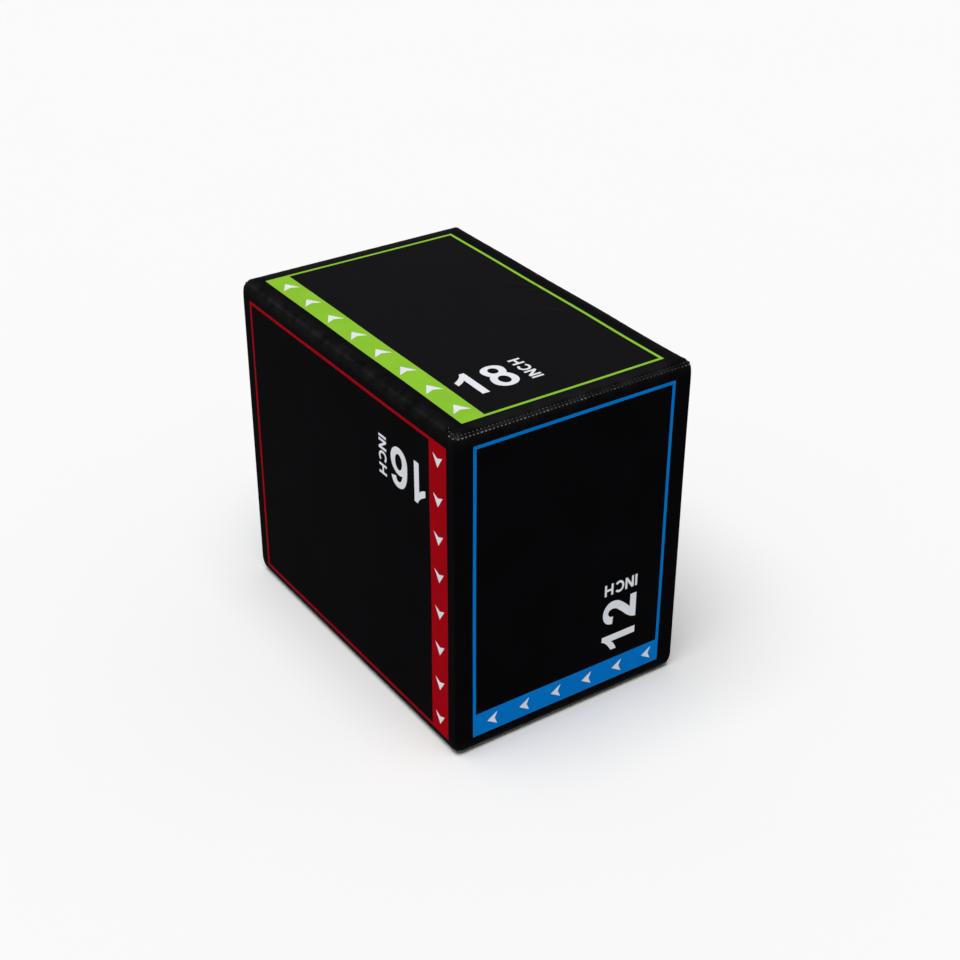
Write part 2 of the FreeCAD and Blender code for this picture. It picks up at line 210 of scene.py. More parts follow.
# Diagonal creases in the top, in millimetres: their middles, and their heading, half length and half width
CREASES = ((107.0, 32.0, -45.0, 24.0, 5.5), (112.0, 8.0, -38.0, 17.0, 4.5), (104.0, -52.0, -50.0, 22.0, 5.0))


def screen_colour(red, green, blue):
    """The scene-linear colour of a screen colour written as 0 to 255."""
    share = np.array([red, green, blue]) / 255.0
    return tuple(np.where(share <= 0.04045, share / 12.92, ((share + 0.055) / 1.055) ** 2.4).tolist())


def colour_property(name, description, screen):
    return bpy.props.FloatVectorProperty(
        name=name, description=description, subtype="COLOR", min=0.0, max=1.0, default=screen_colour(*screen)
    )


def length_property(name, description, default, low=0.0):
    return bpy.props.FloatProperty(
        name=name, description=description, default=default, min=low, unit="LENGTH", precision=5
    )


def share_property(name, description, default):
    return bpy.props.FloatProperty(
        name=name, description=description, default=default, min=0.0, max=1.0, subtype="FACTOR"
    )


def amount_property(name, description, default):
    return bpy.props.FloatProperty(name=name, description=description, default=default, min=0.0)


def angle_property(name, description, default):
    return bpy.props.FloatProperty(name=name, description=description, default=default, subtype="ANGLE")


def place_property(name, description, default):
    return bpy.props.FloatVectorProperty(name=name, description=description, default=default, subtype="XYZ")


class CoverSettings(bpy.types.PropertyGroup):
    """Vinyl cover"""

    vinyl: colour_property("Vinyl", "Colour of the cover's outside", (7, 7, 9))
    # Painted light: a lighter colour painted on the cover where it faces up, as if lit from above
    top_light: colour_property("Dust", "Colour of the cover where dust from shoes lies on it", (19, 18, 20))
    backing: colour_property("Backing", "Colour of the knitted backing inside the cover", (58, 58, 60))
    grain: length_property("Grain", "Width of one pebble of the embossed grain", 0.9 * MM)
    roughness: share_property("Roughness", "Mean roughness of the vinyl", 0.55)
    shine: share_property("Shine", "Specular level of the vinyl", 0.003)
    gloss: share_property("Gloss", "Strength of the polish on the stretched vinyl at a sewn seam", 0.25)
    seam_depth: length_property("Seam depth", "How far a stitched seam pulls the cover in", 0.9 * MM)
    seam_width: length_property("Seam width", "Half width of the groove at a seam", 2.0 * MM)
    pull: length_property("Pull", "How far the padding gives along a stitched seam", 0.5 * MM)
    pull_reach: length_property("Pull reach", "How far from a stitched seam the padding gives", 9.0 * MM)
    fold_round: length_property("Fold radius", "Radius of the cover's folds at the upright edges", 4.0 * MM)
    corner_fill: length_property("Corner fill", "How far the padding fills out the corners", 1.2 * MM)
    corner_reach: length_property("Corner reach", "How far from a corner the padding fills it out", 9.0 * MM)
    slack: length_property("Slack", "Height of the broad waves in the faces", 0.3 * MM)
    pucker: length_property("Pucker", "Height of the small waves beside a stitched seam", 0.12 * MM)
    pucker_length: length_property("Pucker length", "Length of the small waves", 18.0 * MM)
    crease: length_property("Crease", "Height of the diagonal creases in the top", 0.5 * MM)
    hem: length_property("Hem", "Width of the hems beside the zip", 9.0 * MM)
    hem_rise: length_property("Hem rise", "How far the hems beside the zip stand up", 0.3 * MM)


class PrintSettings(bpy.types.PropertyGroup):
    """Prints"""

    lime: colour_property("Lime", "Ink of the top and underside", (142, 199, 54))
    red: colour_property("Red", "Ink of the two large sides", (165, 3, 18))
    blue: colour_property("Blue", "Ink of the front and back", (3, 122, 208))
    white: colour_property("White", "Ink of the arrows, numbers and words", (234, 237, 243))
    arrow_width: length_property("Arrow width", "Width of an arrow across its barbs", 19.5 * MM)
    arrow_length: length_property("Arrow length", "Length of an arrow from its tip to its barbs", 15.5 * MM)
    arrow_notch: length_property("Arrow notch", "Depth of the notch between the barbs", 4.0 * MM)


class StitchSettings(bpy.types.PropertyGroup):
    """Stitches"""

    # Painted highlight: the thread's pale grey stands in for glints of light along the seams
    thread: colour_property("Thread", "Colour of the sewing thread", (134, 129, 127))
    pitch: length_property("Pitch", "Distance from one stitch to the next", 4.7 * MM)
    length: length_property("Length", "Length of the thread that shows in one stitch", 3.0 * MM)
    thickness: length_property("Thickness", "Thickness of the thread", 1.1 * MM)
    lid_offset: length_property("Lid offset", "Distance of a lid's row from its seam", 0.6 * MM)
    wall_offset: length_property("Wall offset", "Distance of a wall's row from its seam", 3.2 * MM)
    hem_offset: length_property("Hem offset", "Distance of a row from the edge of the zip's slot", 2.3 * MM)
    turn: length_property("Turn", "Radius of a row's turn at a corner", 5.0 * MM)
    wrap: length_property("Wrap", "How far a row runs on past a corner", 13.0 * MM)
    stray: share_property("Stray", "Spread of the stitches' slant from their row, and of their sizes", 0.25)
    sunk: share_property("Sunk", "Size of the stitches in a lid, as a share of the others", 0.55)


class ZipSettings(bpy.types.PropertyGroup):
    """Zip"""

    tape: colour_property("Tape", "Colour of the woven tape", (22, 22, 24))
    teeth: colour_property("Teeth", "Colour of the moulded teeth", (34, 34, 37))
    metal: colour_property("Metal", "Colour of the slider, its pull and the end stops", (150, 151, 155))
    pitch: length_property("Tooth pitch", "Distance from one tooth to the next on one side", 2.6 * MM)
    head: length_property("Head", "Distance of the tooth heads from the middle of the zip", 0.35 * MM)
    root: length_property("Root", "Distance of the tooth roots from the middle of the zip", 2.6 * MM)
    top: length_property("Top", "Height of the teeth over the vinyl", -0.1 * MM, low=-1.0 * MM)


class CoreSettings(bpy.types.PropertyGroup):
    """Foam and plywood"""

    foam: colour_property("Foam", "Colour of the foam sheets", (196, 198, 202))
    cell: length_property("Cell", "Width of one foam cell", 1.1 * MM)
    face_ply: colour_property("Face ply", "Colour of the plywood's outer layer", (205, 172, 124))
    inner_ply: colour_property("Inner ply", "Colour of the dark layers at the plywood's edges", (134, 92, 54))
    layer: length_property("Layer", "Thickness of one layer of the plywood", 1.7 * MM)
    zinc: colour_property("Zinc", "Colour of the screws' plating", (214, 190, 128))


class StageSettings(bpy.types.PropertyGroup):
    """Stage"""

    eye: place_property("Eye", "Place of the camera", (-0.9461, -1.4444, 1.2203))
    aim: place_property("Aim", "Point that the camera looks at", (0.0207, -0.0173, 0.1954))
    roll: angle_property("Roll", "Turn of the camera about its line of sight", 0.0031)
    lens: amount_property("Lens", "Focal length in millimetres", 63.6)
    sensor: amount_property("Sensor", "Width of the camera's sensor in millimetres", 36.0)
    floor: colour_property("Floor", "Colour of the floor", (254, 254, 254))
    floor_size: length_property("Floor size", "Length of the floor's sides", 16.0)
    lamp: amount_property("Lamp", "Strength of the large lamp overhead", 2.49)
    lamp_from: place_property("Lamp from", "Direction that the lamp shines from", (-0.20, -0.10, 0.95))
    lamp_width: angle_property("Lamp width", "Angle that the lamp fills", math.radians(50))
    sky: amount_property("Sky", "Strength of the even light from all round", 0.2)


# Materials


class Shade:
    """A value in a material's nodes: it wraps an output socket, and arithmetic on it adds Math nodes."""

    def __init__(self, tree, socket=None):
        self.tree, self.socket = tree, socket

    def node(self, kind, settings=None, sockets=None, out=0):
        """Adds a node: its settings first, then the values or links of its sockets. Returns one of its
        outputs."""
        made = self.tree.nodes.new("ShaderNode" + kind)
        for name, value in (settings or {}).items():
            setattr(made, name, value)
        for name, value in (sockets or {}).items():
            if isinstance(value, Shade):
                self.tree.links.new(value.socket, made.inputs[name])
            else:
                made.inputs[name].default_value = value
        return Shade(self.tree, made.outputs[out] if made.outputs else None)

    def maths(self, operation, *values):
        return self.node("Math", {"operation": operation}, dict(enumerate(values)))

    def __add__(self, other):
        return self.maths("ADD", self, other)

    __radd__ = __add__

    def __sub__(self, other):
        return self.maths("SUBTRACT", self, other)

    def __rsub__(self, other):
        return self.maths("SUBTRACT", other, self)

    def __mul__(self, other):
        return self.maths("MULTIPLY", self, other)

    __rmul__ = __mul__

    def wave(self, length):
        """A sine of this length, from -1 to 1."""
        return self.maths("SINE", self * (2 * math.pi / length))

    def rise(self, low, high):
        """0 below low, 1 above high and a smooth rise between them."""
        return self.node("MapRange", {"interpolation_type": "SMOOTHSTEP"}, {0: self, 1: low, 2: high})

    def mixed(self, first, second):
        """A colour that goes from first to second as this value goes from 0 to 1."""
        ends = ((*end, 1.0) if isinstance(end, tuple) else end for end in (first, second))
        return self.node("Mix", {"data_type": "RGBA"}, {0: self, **dict(zip((6, 7), ends))}, out=2)

    def bump(self, strength, distance):
        return self.node("Bump", {}, {"Strength": strength, "Distance": distance, "Height": self})

    def noise(self, scale, detail=2.0):
        return self.node("TexNoise", {}, {"Vector": self, "Scale": scale, "Detail": detail})

    def cells(self, width):
        """Distance from the middle of the nearest of many small cells, softened where cells meet."""
        return self.node(
            "TexVoronoi", {"feature": "SMOOTH_F1"}, {"Vector": self, "Scale": 1 / width, "Smoothness": 0.4}
        )

    def parts(self):
        made = self.node("SeparateXYZ", {}, {"Vector": self})
        return [Shade(self.tree, socket) for socket in made.socket.node.outputs]


def tone(colour, share):
    """A colour made lighter or darker by a share."""
    return tuple(min(1.0, part * share) for part in colour)


def new_finish(name, paint, **constants):
    """A material: paint(place) gives what varies over the surface, and constants are set on the shader
    itself."""
    material = bpy.data.materials.new(name)
    material.use_nodes = True
    material.node_tree.nodes.clear()
    place = Shade(material.node_tree).node("TexCoord", out="Object")
    sockets = {words.replace("_", " "): value for words, value in constants.items()}
    shader = place.node("BsdfPrincipled", {}, {**sockets, **paint(place)})
    place.node("OutputMaterial", {}, {"Surface": shader})
    return material


def vinyl_finish(cover):
    """Embossed vinyl: rounded pebbles with a finer roughness, painted lighter where it faces up, as if lit
    from above, but not beside the long edges, and polished where it is stretched over the edges of a sewn
    seam."""
    colour, lit_top = tuple(cover.vinyl), tuple(cover.top_light)

    def paint(place):
        pebble = 1 - place.cells(cover.grain)
        fine = place.noise(2.7 / cover.grain)
        cloud = place.noise(16.0, 4.0)
        seam = place.node("Attribute", {"attribute_name": "seam"}, out="Fac")
        lit_from_above = place.node("NewGeometry", out="Normal").parts()[2].rise(0.55, 0.95)
        beside = place.maths("ABSOLUTE", place.parts()[0]).rise(*TOP_LIGHT_END)
        body = cloud.rise(0.3, 0.7).mixed(tone(colour, 0.85), tone(colour, 1.2))
        return {
            # Painted light: faces that look up get the lighter colour, as if lit from above, except beside
            # the long edges
            "Base Color": (lit_from_above * (0.6 + 0.7 * cloud) * (1 - beside)).mixed(body, lit_top),
            "Roughness": cover.roughness - 0.06 + 0.12 * cloud,
            "Coat Weight": cover.gloss * seam * place.noise(60.0, 5.0).rise(0.15, 0.75),
            "Normal": (0.75 * pebble + 0.25 * fine).bump(0.35, VINYL_BUMP),
        }

    return new_finish("black_vinyl", paint, Specular_IOR_Level=cover.shine, Coat_Roughness=0.35)


def backing_finish(cover):
    """Knitted backing: rows of small loops, made from crossed waves."""
    colour = tuple(cover.backing)

    def paint(place):
        x, y, z = place.parts()
        loops = (x + y).wave(KNIT_LOOPS[0]) * z.wave(KNIT_LOOPS[1])
        fluff = place.noise(900.0, 3.0)
        return {
            "Base Color": (0.5 + 0.3 * loops + 0.2 * fluff).mixed(tone(colour, 0.55), tone(colour, 1.3)),
            "Roughness": 0.85 + 0.1 * fluff,
            "Normal": (loops + 0.6 * fluff).bump(0.5, KNIT_BUMP),
        }

    return new_finish("knitted_backing", paint, Specular_IOR_Level=0.2)


def ink_finish(name, colour, cover):
    """Screen ink: the vinyl's grain shows through it softly, and its density varies a little."""
    colour = tuple(colour)

    def paint(place):
        pebble = 1 - place.cells(cover.grain)
        cloud = place.noise(35.0, 4.0)
        speck = place.noise(1400.0, 1.0).rise(0.70, 0.78)
        body = cloud.rise(0.25, 0.75).mixed(tone(colour, 0.95), tone(colour, 1.04))
        return {
            "Base Color": (0.5 * speck).mixed(body, tone(colour, 0.5)),
            "Roughness": 0.5 + 0.1 * cloud,
            "Normal": pebble.bump(0.2, INK_BUMP),
        }

    return new_finish(name, paint, Specular_IOR_Level=cover.shine)


def thread_finish(stitch):
    """Twisted thread: slanting strands from crossed waves, soiled at random in places, with painted highlight
    at the far left and at the right corner, and painted shade towards the right between them.
    """
    colour = tuple(stitch.thread)

    def paint(place):
        x, y, z = place.parts()
        strands = (x + y + 1.3 * z).wave(THREAD_STRAND)
        # Painted light and shade: the thread is painted lighter at the far left and at the right corner, and
        # painted darker towards the right between them; the noise beside it is soil
        highlight_fade = x.rise(*THREAD_SHADE_START) - x.rise(*THREAD_SHADE_END)
        soil_and_shade = 0.4 * place.noise(70.0, 3.0).rise(0.35, 0.65) + 0.75 * highlight_fade
        soil_and_highlight = soil_and_shade.mixed(tone(colour, 1.5), tone(colour, 0.1))
        return {
            "Base Color": (0.3 + 0.3 * strands).mixed(soil_and_highlight, tone(colour, 0.2)),
            "Roughness": 0.55 + 0.1 * strands,
            "Normal": strands.bump(0.5, THREAD_BUMP),
        }

    return new_finish("sewing_thread", paint, Specular_IOR_Level=0.1)


def tape_finish(zip_):
    """Woven tape: fine ribs crossed by a slanting twill."""
    colour = tuple(zip_.tape)

    def paint(place):
        x, _, z = place.parts()
        weave = (x + z).wave(TAPE_TWILL[0]) * (x - z).wave(TAPE_TWILL[1])
        return {
            "Base Color": (0.5 + 0.5 * weave).mixed(tone(colour, 0.5), tone(colour, 1.6)),
            "Roughness": 0.8 + 0.1 * weave,
            "Normal": weave.bump(0.6, TAPE_BUMP),
        }

    return new_finish("woven_tape", paint, Specular_IOR_Level=0.2)


def teeth_finish(zip_):
    """Moulded plastic: nearly even, with a faint flow pattern."""
    colour = tuple(zip_.teeth)

    def paint(place):
        flow = place.noise(350.0, 2.0)
        return {
            "Base Color": flow.mixed(tone(colour, 0.8), tone(colour, 1.25)),
            "Roughness": 0.3 + 0.16 * flow,
            "Normal": flow.bump(0.15, TEETH_BUMP),
        }

    return new_finish("moulded_plastic", paint)


def metal_finish(name, colour, roughness):
    """Plated metal: brushed by long fine scratches, dulled in patches by handling."""
    colour = tuple(colour)

    def paint(place):
        scratches = place.node("Mapping", {}, {"Vector": place, "Scale": (1.0, 1.0, 0.05)}).noise(2600.0, 2.0)
        handled = place.noise(220.0, 4.0)
        return {
            "Base Color": handled.rise(0.35, 0.7).mixed(tone(colour, 1.1), tone(colour, 0.7)),
            "Roughness": roughness + 0.15 * handled + 0.08 * scratches,
            "Normal": scratches.bump(0.15, METAL_BUMP),
        }

    return new_finish(name, paint, Metallic=1.0)


def foam_finish(core):
    """Closed-cell foam: a skin of small cells, darker between them, with a few larger pits."""
    colour = tuple(core.foam)

    def paint(place):
        cell = place.cells(core.cell)
        pit = place.noise(420.0, 3.0).rise(0.60, 0.72)
        return {
            "Base Color": (0.8 * cell + 0.4 * pit).mixed(tone(colour, 1.08), tone(colour, 0.62)),
            "Roughness": 0.8 + 0.15 * cell,
            "Normal": (1 - cell - 0.5 * pit).bump(0.7, FOAM_BUMP),
        }

    return new_finish("closed_cell_foam", paint, Specular_IOR_Level=0.2)


def plywood_finish(core, axis):
    """Plywood whose layers lie across one axis: long grain on its faces, and dark and pale layers at its
    edges."""
    pale, dark = tuple(core.face_ply), tuple(core.inner_ply)
    across = [float(axis == k) for k in range(3)]
    stretch = [40.0 if k == (axis + 1) % 3 else 320.0 for k in range(3)]

    def paint(place):
        grain = place.node("Mapping", {}, {"Vector": place, "Scale": stretch}).noise(1.0, 5.0)
        layers = (place.parts()[axis].wave(2 * core.layer)).rise(-0.2, 0.2)
        normal = place.node("NewGeometry", out="Normal")
        facing = place.node("VectorMath", {"operation": "DOT_PRODUCT"}, {0: normal, 1: across}, out="Value")
        edge = 1 - facing.maths("ABSOLUTE", facing).rise(0.4, 0.6)
        return {
            "Base Color": (edge * layers + (1 - edge) * 0.6 * grain.rise(0.4, 0.75)).mixed(pale, dark),
            "Roughness": 0.6 + 0.2 * grain,
            "Normal": (grain + edge * layers).bump(0.3, PLYWOOD_BUMP),
        }

    return new_finish("birch_plywood_" + "xyz"[axis], paint)


def floor_finish(stage):
    """A plain matt floor, its tone all but even."""
    colour = tuple(stage.floor)

    def paint(place):
        cloud = place.noise(3.0)
        return {"Base Color": cloud.mixed(colour, tone(colour, 0.995)), "Roughness": 0.9 + 0.05 * cloud}

    return new_finish("pale_floor", paint, Specular_IOR_Level=0.0)


# Sheets on the faces of a box


class Face:
    """One face of a box with rounded edges, as a sheet that rolls over the edges as far as the mitre lines.
    A place on it is (s, t), the lengths from its middle along its right and up directions, measured over
    the surface."""

    def __init__(self, low, high, radius, right, up):
        half = (high - low) / 2
        self.right, self.up = np.array(right, float), np.array(up, float)
        self.out = np.cross(self.right, self.up)
        self.radius = radius
        self.half = np.array([abs(self.right) @ half, abs(self.up) @ half])
        self.flat = self.half - radius
        self.reach = self.flat + radius * math.pi / 4
        self.heart = (low + high) / 2 + (abs(self.out) @ half - radius) * self.out

    def rounded(self, places):
        """Points and outward directions: a core point held inside the flat part, plus the radius along a
        direction whose slopes are the tangents of the angles that the place has rolled past the flat
        part."""
        held = np.clip(places, -self.flat, self.flat)
        slope = np.tan((places - held) / self.radius)
        outward = self.out + slope[..., :1] * self.right + slope[..., 1:] * self.up
        outward = outward / np.linalg.norm(outward, axis=-1, keepdims=True)
        core = self.heart + held[..., :1] * self.right + held[..., 1:] * self.up
        return core + self.radius * outward, outward

    def lines(self, step=SHEET_STEP):
        """Two sets of grid lines, even over the flat part and closer beside and over the rolled edges."""
        return [sheet_lines(flat, reach, step) for flat, reach in zip(self.flat, self.reach)]

    def inset(self, places):
        """Distance inside the face's sides and lower edge, by a rounded rectangle that is open at its top."""
        sideways, downward = abs(places[..., 0]) - self.half[0], -places[..., 1] - self.half[1]
        past = ZIP_TURN + np.stack([sideways, downward], axis=-1)
        outside = np.linalg.norm(np.maximum(past, 0), axis=-1)
        return ZIP_TURN - outside - np.minimum(past.max(axis=-1), 0)


class CoverFace(Face):
    """A face of the cover, with the give that sewn vinyl has over foam."""

    def __init__(self, name, cover):
        super().__init__(BOX_LOW, BOX_HIGH, EDGE_ROUND, *FACES[name])
        self.name, self.cover = name, cover
        self.sewn = np.array([float(name in ("top", "bottom")), 1.0])

    def lift(self, places, points):
        """Height over the plain rounded face: broad waves and full corners that die away towards the floor
        and the back, small waves that fade from each stitched seam, the deeper of the two seam grooves in
        the wider give beside them, tight folds at the upright edges, and what the top and the back have of
        their own."""
        cover = self.cover
        edge = self.reach - abs(places)
        groove = cover.seam_depth * np.exp(-((edge / cover.seam_width) ** 2))
        groove = (self.sewn * (groove + cover.pull * np.exp(-((edge / cover.pull_reach) ** 2)))).max(axis=-1)
        room = np.stack([BOX_HIGH[1] - points[..., 1], points[..., 2] - BOX_LOW[2]], axis=-1)
        room = np.clip(room / ROOM_FADE, 0, 1).prod(axis=-1)
        corner = cover.corner_fill * room * np.exp(-(edge**2).sum(axis=-1) / cover.corner_reach**2)
        ripple = uneven_wave(2 * math.pi * places[..., ::-1] / cover.pucker_length)
        away = (1 - np.exp(-((edge / PUCKER_START) ** 2))).prod(axis=-1, keepdims=True)
        pucker = cover.pucker * (self.sewn * ripple * np.exp(-edge / PUCKER_FADE) * away).sum(axis=-1)
        broad = cover.slack * room * broad_waves(points)
        return broad + pucker - groove + corner + self.fold(edge) + self.local(places, points)

    def fold(self, edge):
        """How far a tight fold stands out from the wide round of an upright edge: along each ray from the
        round's centre, the way to the tight round, or to the flat beside it, less the wide radius."""
        wide, tight = self.radius, self.cover.fold_round
        angle = np.clip(edge[..., 0] / wide, 0, math.pi / 4)
        centre = (wide - tight) * math.sqrt(2)
        half_chord = np.sqrt(np.maximum(tight**2 - (centre * np.sin(angle)) ** 2, 0))
        flat = np.tan(math.pi / 4 - angle) * wide < wide - tight
        way = np.where(flat, wide / np.cos(math.pi / 4 - angle), centre * np.cos(angle) + half_chord)
        away = 1 - np.exp(-((edge[..., 1] / self.cover.corner_reach) ** 2))
        return (1 - self.sewn[0]) * (way - wide) * away

    def local(self, places, points):
        """Creases in the top; on the back, waves inside the zip, and hems whose edges roll down into the
        slot."""
        cover = self.cover
        if self.name == "top":
            return cover.crease * creases(places)
        if self.name == "back":
            inset = self.inset(places)
            beside = abs(inset - ZIP_INSET) - SLOT_HALF
            height = places[..., 1] + self.half[1]
            hem = 1 / (1 + np.exp((beside - cover.hem) / HEM_EDGE))
            below = 1 / (1 + np.exp((height - SLOT_TOP) / HEM_ROLL))
            edges = cover.hem_rise * (hem - HEM_ROLL_SHARE * np.exp(-((beside / HEM_ROLL) ** 2)))
            high = np.clip((FOLD_HEIGHT - FOLD_LENGTH - height) / FLAP_FADE, 0, 1)
            deep = np.clip((inset - FLAP_START) / FLAP_FADE, 0, 1)
            return below * edges + cover.slack * high * deep * broad_waves(points)
        return 0.0

    def points(self, places):
        base, outward = self.rounded(places)
        return base + self.lift(places, base)[..., None] * outward, outward


def uneven_wave(turns):
    """A sine of the turns, whose spacing and height drift by slower sines."""
    spacing = turns + 1.7 * np.sin(turns / 5.3)
    height = 0.65 + 0.35 * np.sin(turns / 7.1 + 0.6)
    return np.sin(spacing) * height


def broad_waves(points):
    """A sum of slow sines in fixed directions through space, so that two faces agree where they meet."""
    draw = np.random.default_rng(WAVE_SEED)
    heading = draw.normal(size=(WAVE_COUNT, 3))
    heading /= np.linalg.norm(heading, axis=1, keepdims=True)
    lengths = draw.uniform(*WAVE_LENGTHS, WAVE_COUNT)
    starts = draw.uniform(0, 2 * math.pi, WAVE_COUNT)
    turns = 2 * math.pi * (points @ heading.T) / lengths + starts
    return np.sin(turns).sum(axis=-1) / math.sqrt(WAVE_COUNT)


def creases(places):
    """Ridges that die away along and across their heading, each with a shallow trough on either side."""
    middles, heading, long, wide = np.split(np.array(CREASES), (2, 3, 4), axis=1)
    heading = np.radians(heading[:, 0])
    off = places[..., None, :] - middles * MM
    along = off[..., 0] * np.cos(heading) + off[..., 1] * np.sin(heading)
    across = off[..., 1] * np.cos(heading) - off[..., 0] * np.sin(heading)
    across = across / (wide[:, 0] * MM)
    return (np.exp(-((along / (long[:, 0] * MM)) ** 2)) * np.exp(-(across**2)) * (1 - across**2)).sum(axis=-1)


def sheet_lines(flat, reach, step):
    """Places of grid lines: even over the flat part, closer in its last band, and closest over the roll."""
    inner = max(flat - FINE_BAND, flat / 2)
    body = np.linspace(-inner, inner, max(2, round(2 * inner / step)) + 1)
    band, roll = np.linspace(inner, flat, FINE_STEPS + 1), np.linspace(flat, reach, ROLL_STEPS + 1)
    edge = np.concatenate([band[1:], roll[1:]])
    return np.concatenate([-edge[::-1], body, edge])


def mesh_grid(first, second):
    """A grid of places from two sets of lines."""
    return np.stack(np.meshgrid(first, second, indexing="ij"), axis=-1)


def ruled(first, second, shares):
    """A grid between two lines of equally many points: straight across from each point to its partner."""
    shares = np.asarray(shares)[None, :, None]
    return first[:, None] * (1 - shares) + second[:, None] * shares


def joined(grids):
    """One sheet of four-sided faces from several grids, with points that coincide made one. Grids of places
    are turned so that all of them run anticlockwise."""
    faces, start = [], 0
    for grid in grids:
        index = start + np.arange(grid[..., 0].size).reshape(grid.shape[:2])
        start += index.size
        corners = [index[:-1, :-1], index[1:, :-1], index[1:, 1:], index[:-1, 1:]]
        if grid.shape[-1] == 2:
            across, down = np.diff(grid, axis=0)[:, :-1], np.diff(grid, axis=1)[:-1]
            if (across[..., 0] * down[..., 1] - across[..., 1] * down[..., 0]).sum() < 0:
                corners.reverse()
        faces.append(np.stack(corners, axis=-1).reshape(-1, 4))
    spots = np.concatenate([grid.reshape(-1, grid.shape[-1]) for grid in grids])
    cells = np.round(spots / WELD).astype(np.int64)
    _, first, index = np.unique(cells, axis=0, return_index=True, return_inverse=True)
    return spots[first], index.reshape(-1)[np.concatenate(faces)]


def closed_shell(points, outward, faces, top, foot):
    """Two copies of a sheet, lifted by top and by foot along its outward directions, with walls round its
    free edges. Also says which faces are outside (0) and inside (1)."""
    count = len(points)
    both = np.concatenate([points + top * outward, points + foot * outward])
    sides = np.stack([faces, np.roll(faces, -1, axis=1)], axis=-1).reshape(-1, 2)
    pairs = sides.min(axis=1) * count + sides.max(axis=1)
    _, first, uses = np.unique(pairs, return_index=True, return_counts=True)
    rim = sides[first[uses == 1]]
    walls = np.stack([rim[:, 1], rim[:, 0], rim[:, 0] + count, rim[:, 1] + count], axis=1)
    marks = np.repeat([0, 1, 0], [len(faces), len(faces), len(walls)])
    return both, np.concatenate([faces, faces[:, ::-1] + count, walls]), marks


def new_piece(name, points, faces, finishes, marks=None, seam=None, sharp=50.0):
    """An object at the origin from arrays of points and four-sided faces."""
    mesh = bpy.data.meshes.new(name)
    mesh.vertices.add(len(points))
    mesh.vertices.foreach_set("co", points.astype(np.float32).ravel())
    mesh.loops.add(faces.size)
    mesh.loops.foreach_set("vertex_index", faces.astype(np.int32).ravel())
    mesh.polygons.add(len(faces))
    mesh.polygons.foreach_set("loop_start", np.arange(0, faces.size, 4, dtype=np.int32))
    for finish in finishes:
        mesh.materials.append(finish)
    if marks is not None:
        mesh.polygons.foreach_set("material_index", marks.astype(np.int32))
    if seam is not None:
        mesh.attributes.new("seam", "FLOAT", "POINT").data.foreach_set("value", seam.astype(np.float32))
    mesh.update(calc_edges=True)
    mesh.shade_smooth()
    mesh.set_sharp_from_angle(angle=math.radians(sharp))
    piece = bpy.data.objects.new(name, mesh)
    bpy.context.scene.collection.objects.link(piece)
    return piece


def laid_sheet(name, face, grids, top, foot, finishes):
    """A closed sheet that lies on a face of the cover, with how near each point is to a seam."""
    places, faces = joined(grids)
    points, outward = face.points(places)
    both, faces, marks = closed_shell(points, outward, faces, top, foot)
    seam = (face.sewn * np.exp(-(face.reach - abs(places)) / POLISH_FADE)).max(axis=-1)
    marks = marks if len(finishes) > 1 else np.zeros_like(marks)
    return new_piece(name, both, faces, finishes, marks, np.tile(seam, 2))


def scattered(shape, faces, places, along, outward, sizes=1.0):
    """Copies of a small shape, one at each place and of its size there: its x runs along, its z outward,
    and its y square to both."""
    side = np.cross(outward, along)
    axes = np.stack([along, side, outward], axis=1) * np.reshape(sizes, (-1, 1, 1))
    points = places[:, None] + np.einsum("vk,nkd->nvd", shape, axes)
    index = faces[None] + (np.arange(len(places)) * len(shape))[:, None, None]
    return points.reshape(-1, 3), index.reshape(-1, 4)


def tube_faces(rings, sides):
    """Faces of a closed tube with an even number of sides: bands between its rings, and an end cap of
    four-sided faces at either end."""
    index = np.arange(rings * sides).reshape(rings, sides)
    after = np.roll(index, -1, axis=1)
    bands = np.stack([index[:-1], after[:-1], after[1:], index[1:]], axis=-1).reshape(-1, 4)
    step = np.arange(1, sides - 2, 2)
    cap = np.stack([np.zeros_like(step), step + 2, step + 1, step], axis=-1)
    return np.concatenate([bands, cap, cap[:, ::-1] + (rings - 1) * sides])


def even_walk(line, pitch):
    """Points at an even pitch along a line of many short steps, with the direction of travel at each."""
    length = np.concatenate([[0], np.cumsum(np.linalg.norm(np.diff(line, axis=0), axis=1))])
    count = max(2, int(length[-1] / pitch))
    at = (np.arange(count) + 0.5) * length[-1] / count
    before, here, after = (
        np.stack([np.interp(at + step, length, line[:, k]) for k in range(2)], axis=-1)
        for step in (-NEAR, 0, NEAR)
    )
    heading = after - before
    return here, heading / np.linalg.norm(heading, axis=1, keepdims=True)


def straight(start, end):
    """Points from start towards end, about a sheet's step apart, without the end itself."""
    way = np.subtract(end, start)
    count = round(np.linalg.norm(way) / SHEET_STEP)
    return start + way * np.arange(count)[:, None] / count


def quarter_round(radius, steps):
    """Points of a quarter circle about the origin, from its right to its top."""
    angle = np.linspace(0, math.pi / 2, steps + 1)
    return np.stack([np.cos(angle), np.sin(angle)], axis=-1) * radius


def line_length(line):
    return np.linalg.norm(np.diff(line, axis=0), axis=1).sum()


def u_line(face, radius, top, square=False):
    """A U-shaped line on the back: down its left side, round two corners about fixed centres and up its
    right side. A square one goes out to the corners of the square about each centre."""
    x, y = face.half[0] - ZIP_TURN, on_back(face, ZIP_TURN)
    ray = quarter_round(radius, CORNER_STEPS)
    if square:
        ray = ray / abs(ray / radius).max(axis=1, keepdims=True)
    left = np.concatenate([straight((-x - radius, top), (-x - radius, y)), (-x, y) - ray])
    bottom = straight((-x, y - radius), (x, y - radius))[1:]
    return np.concatenate([left, bottom, left[::-1] * (-1, 1)])


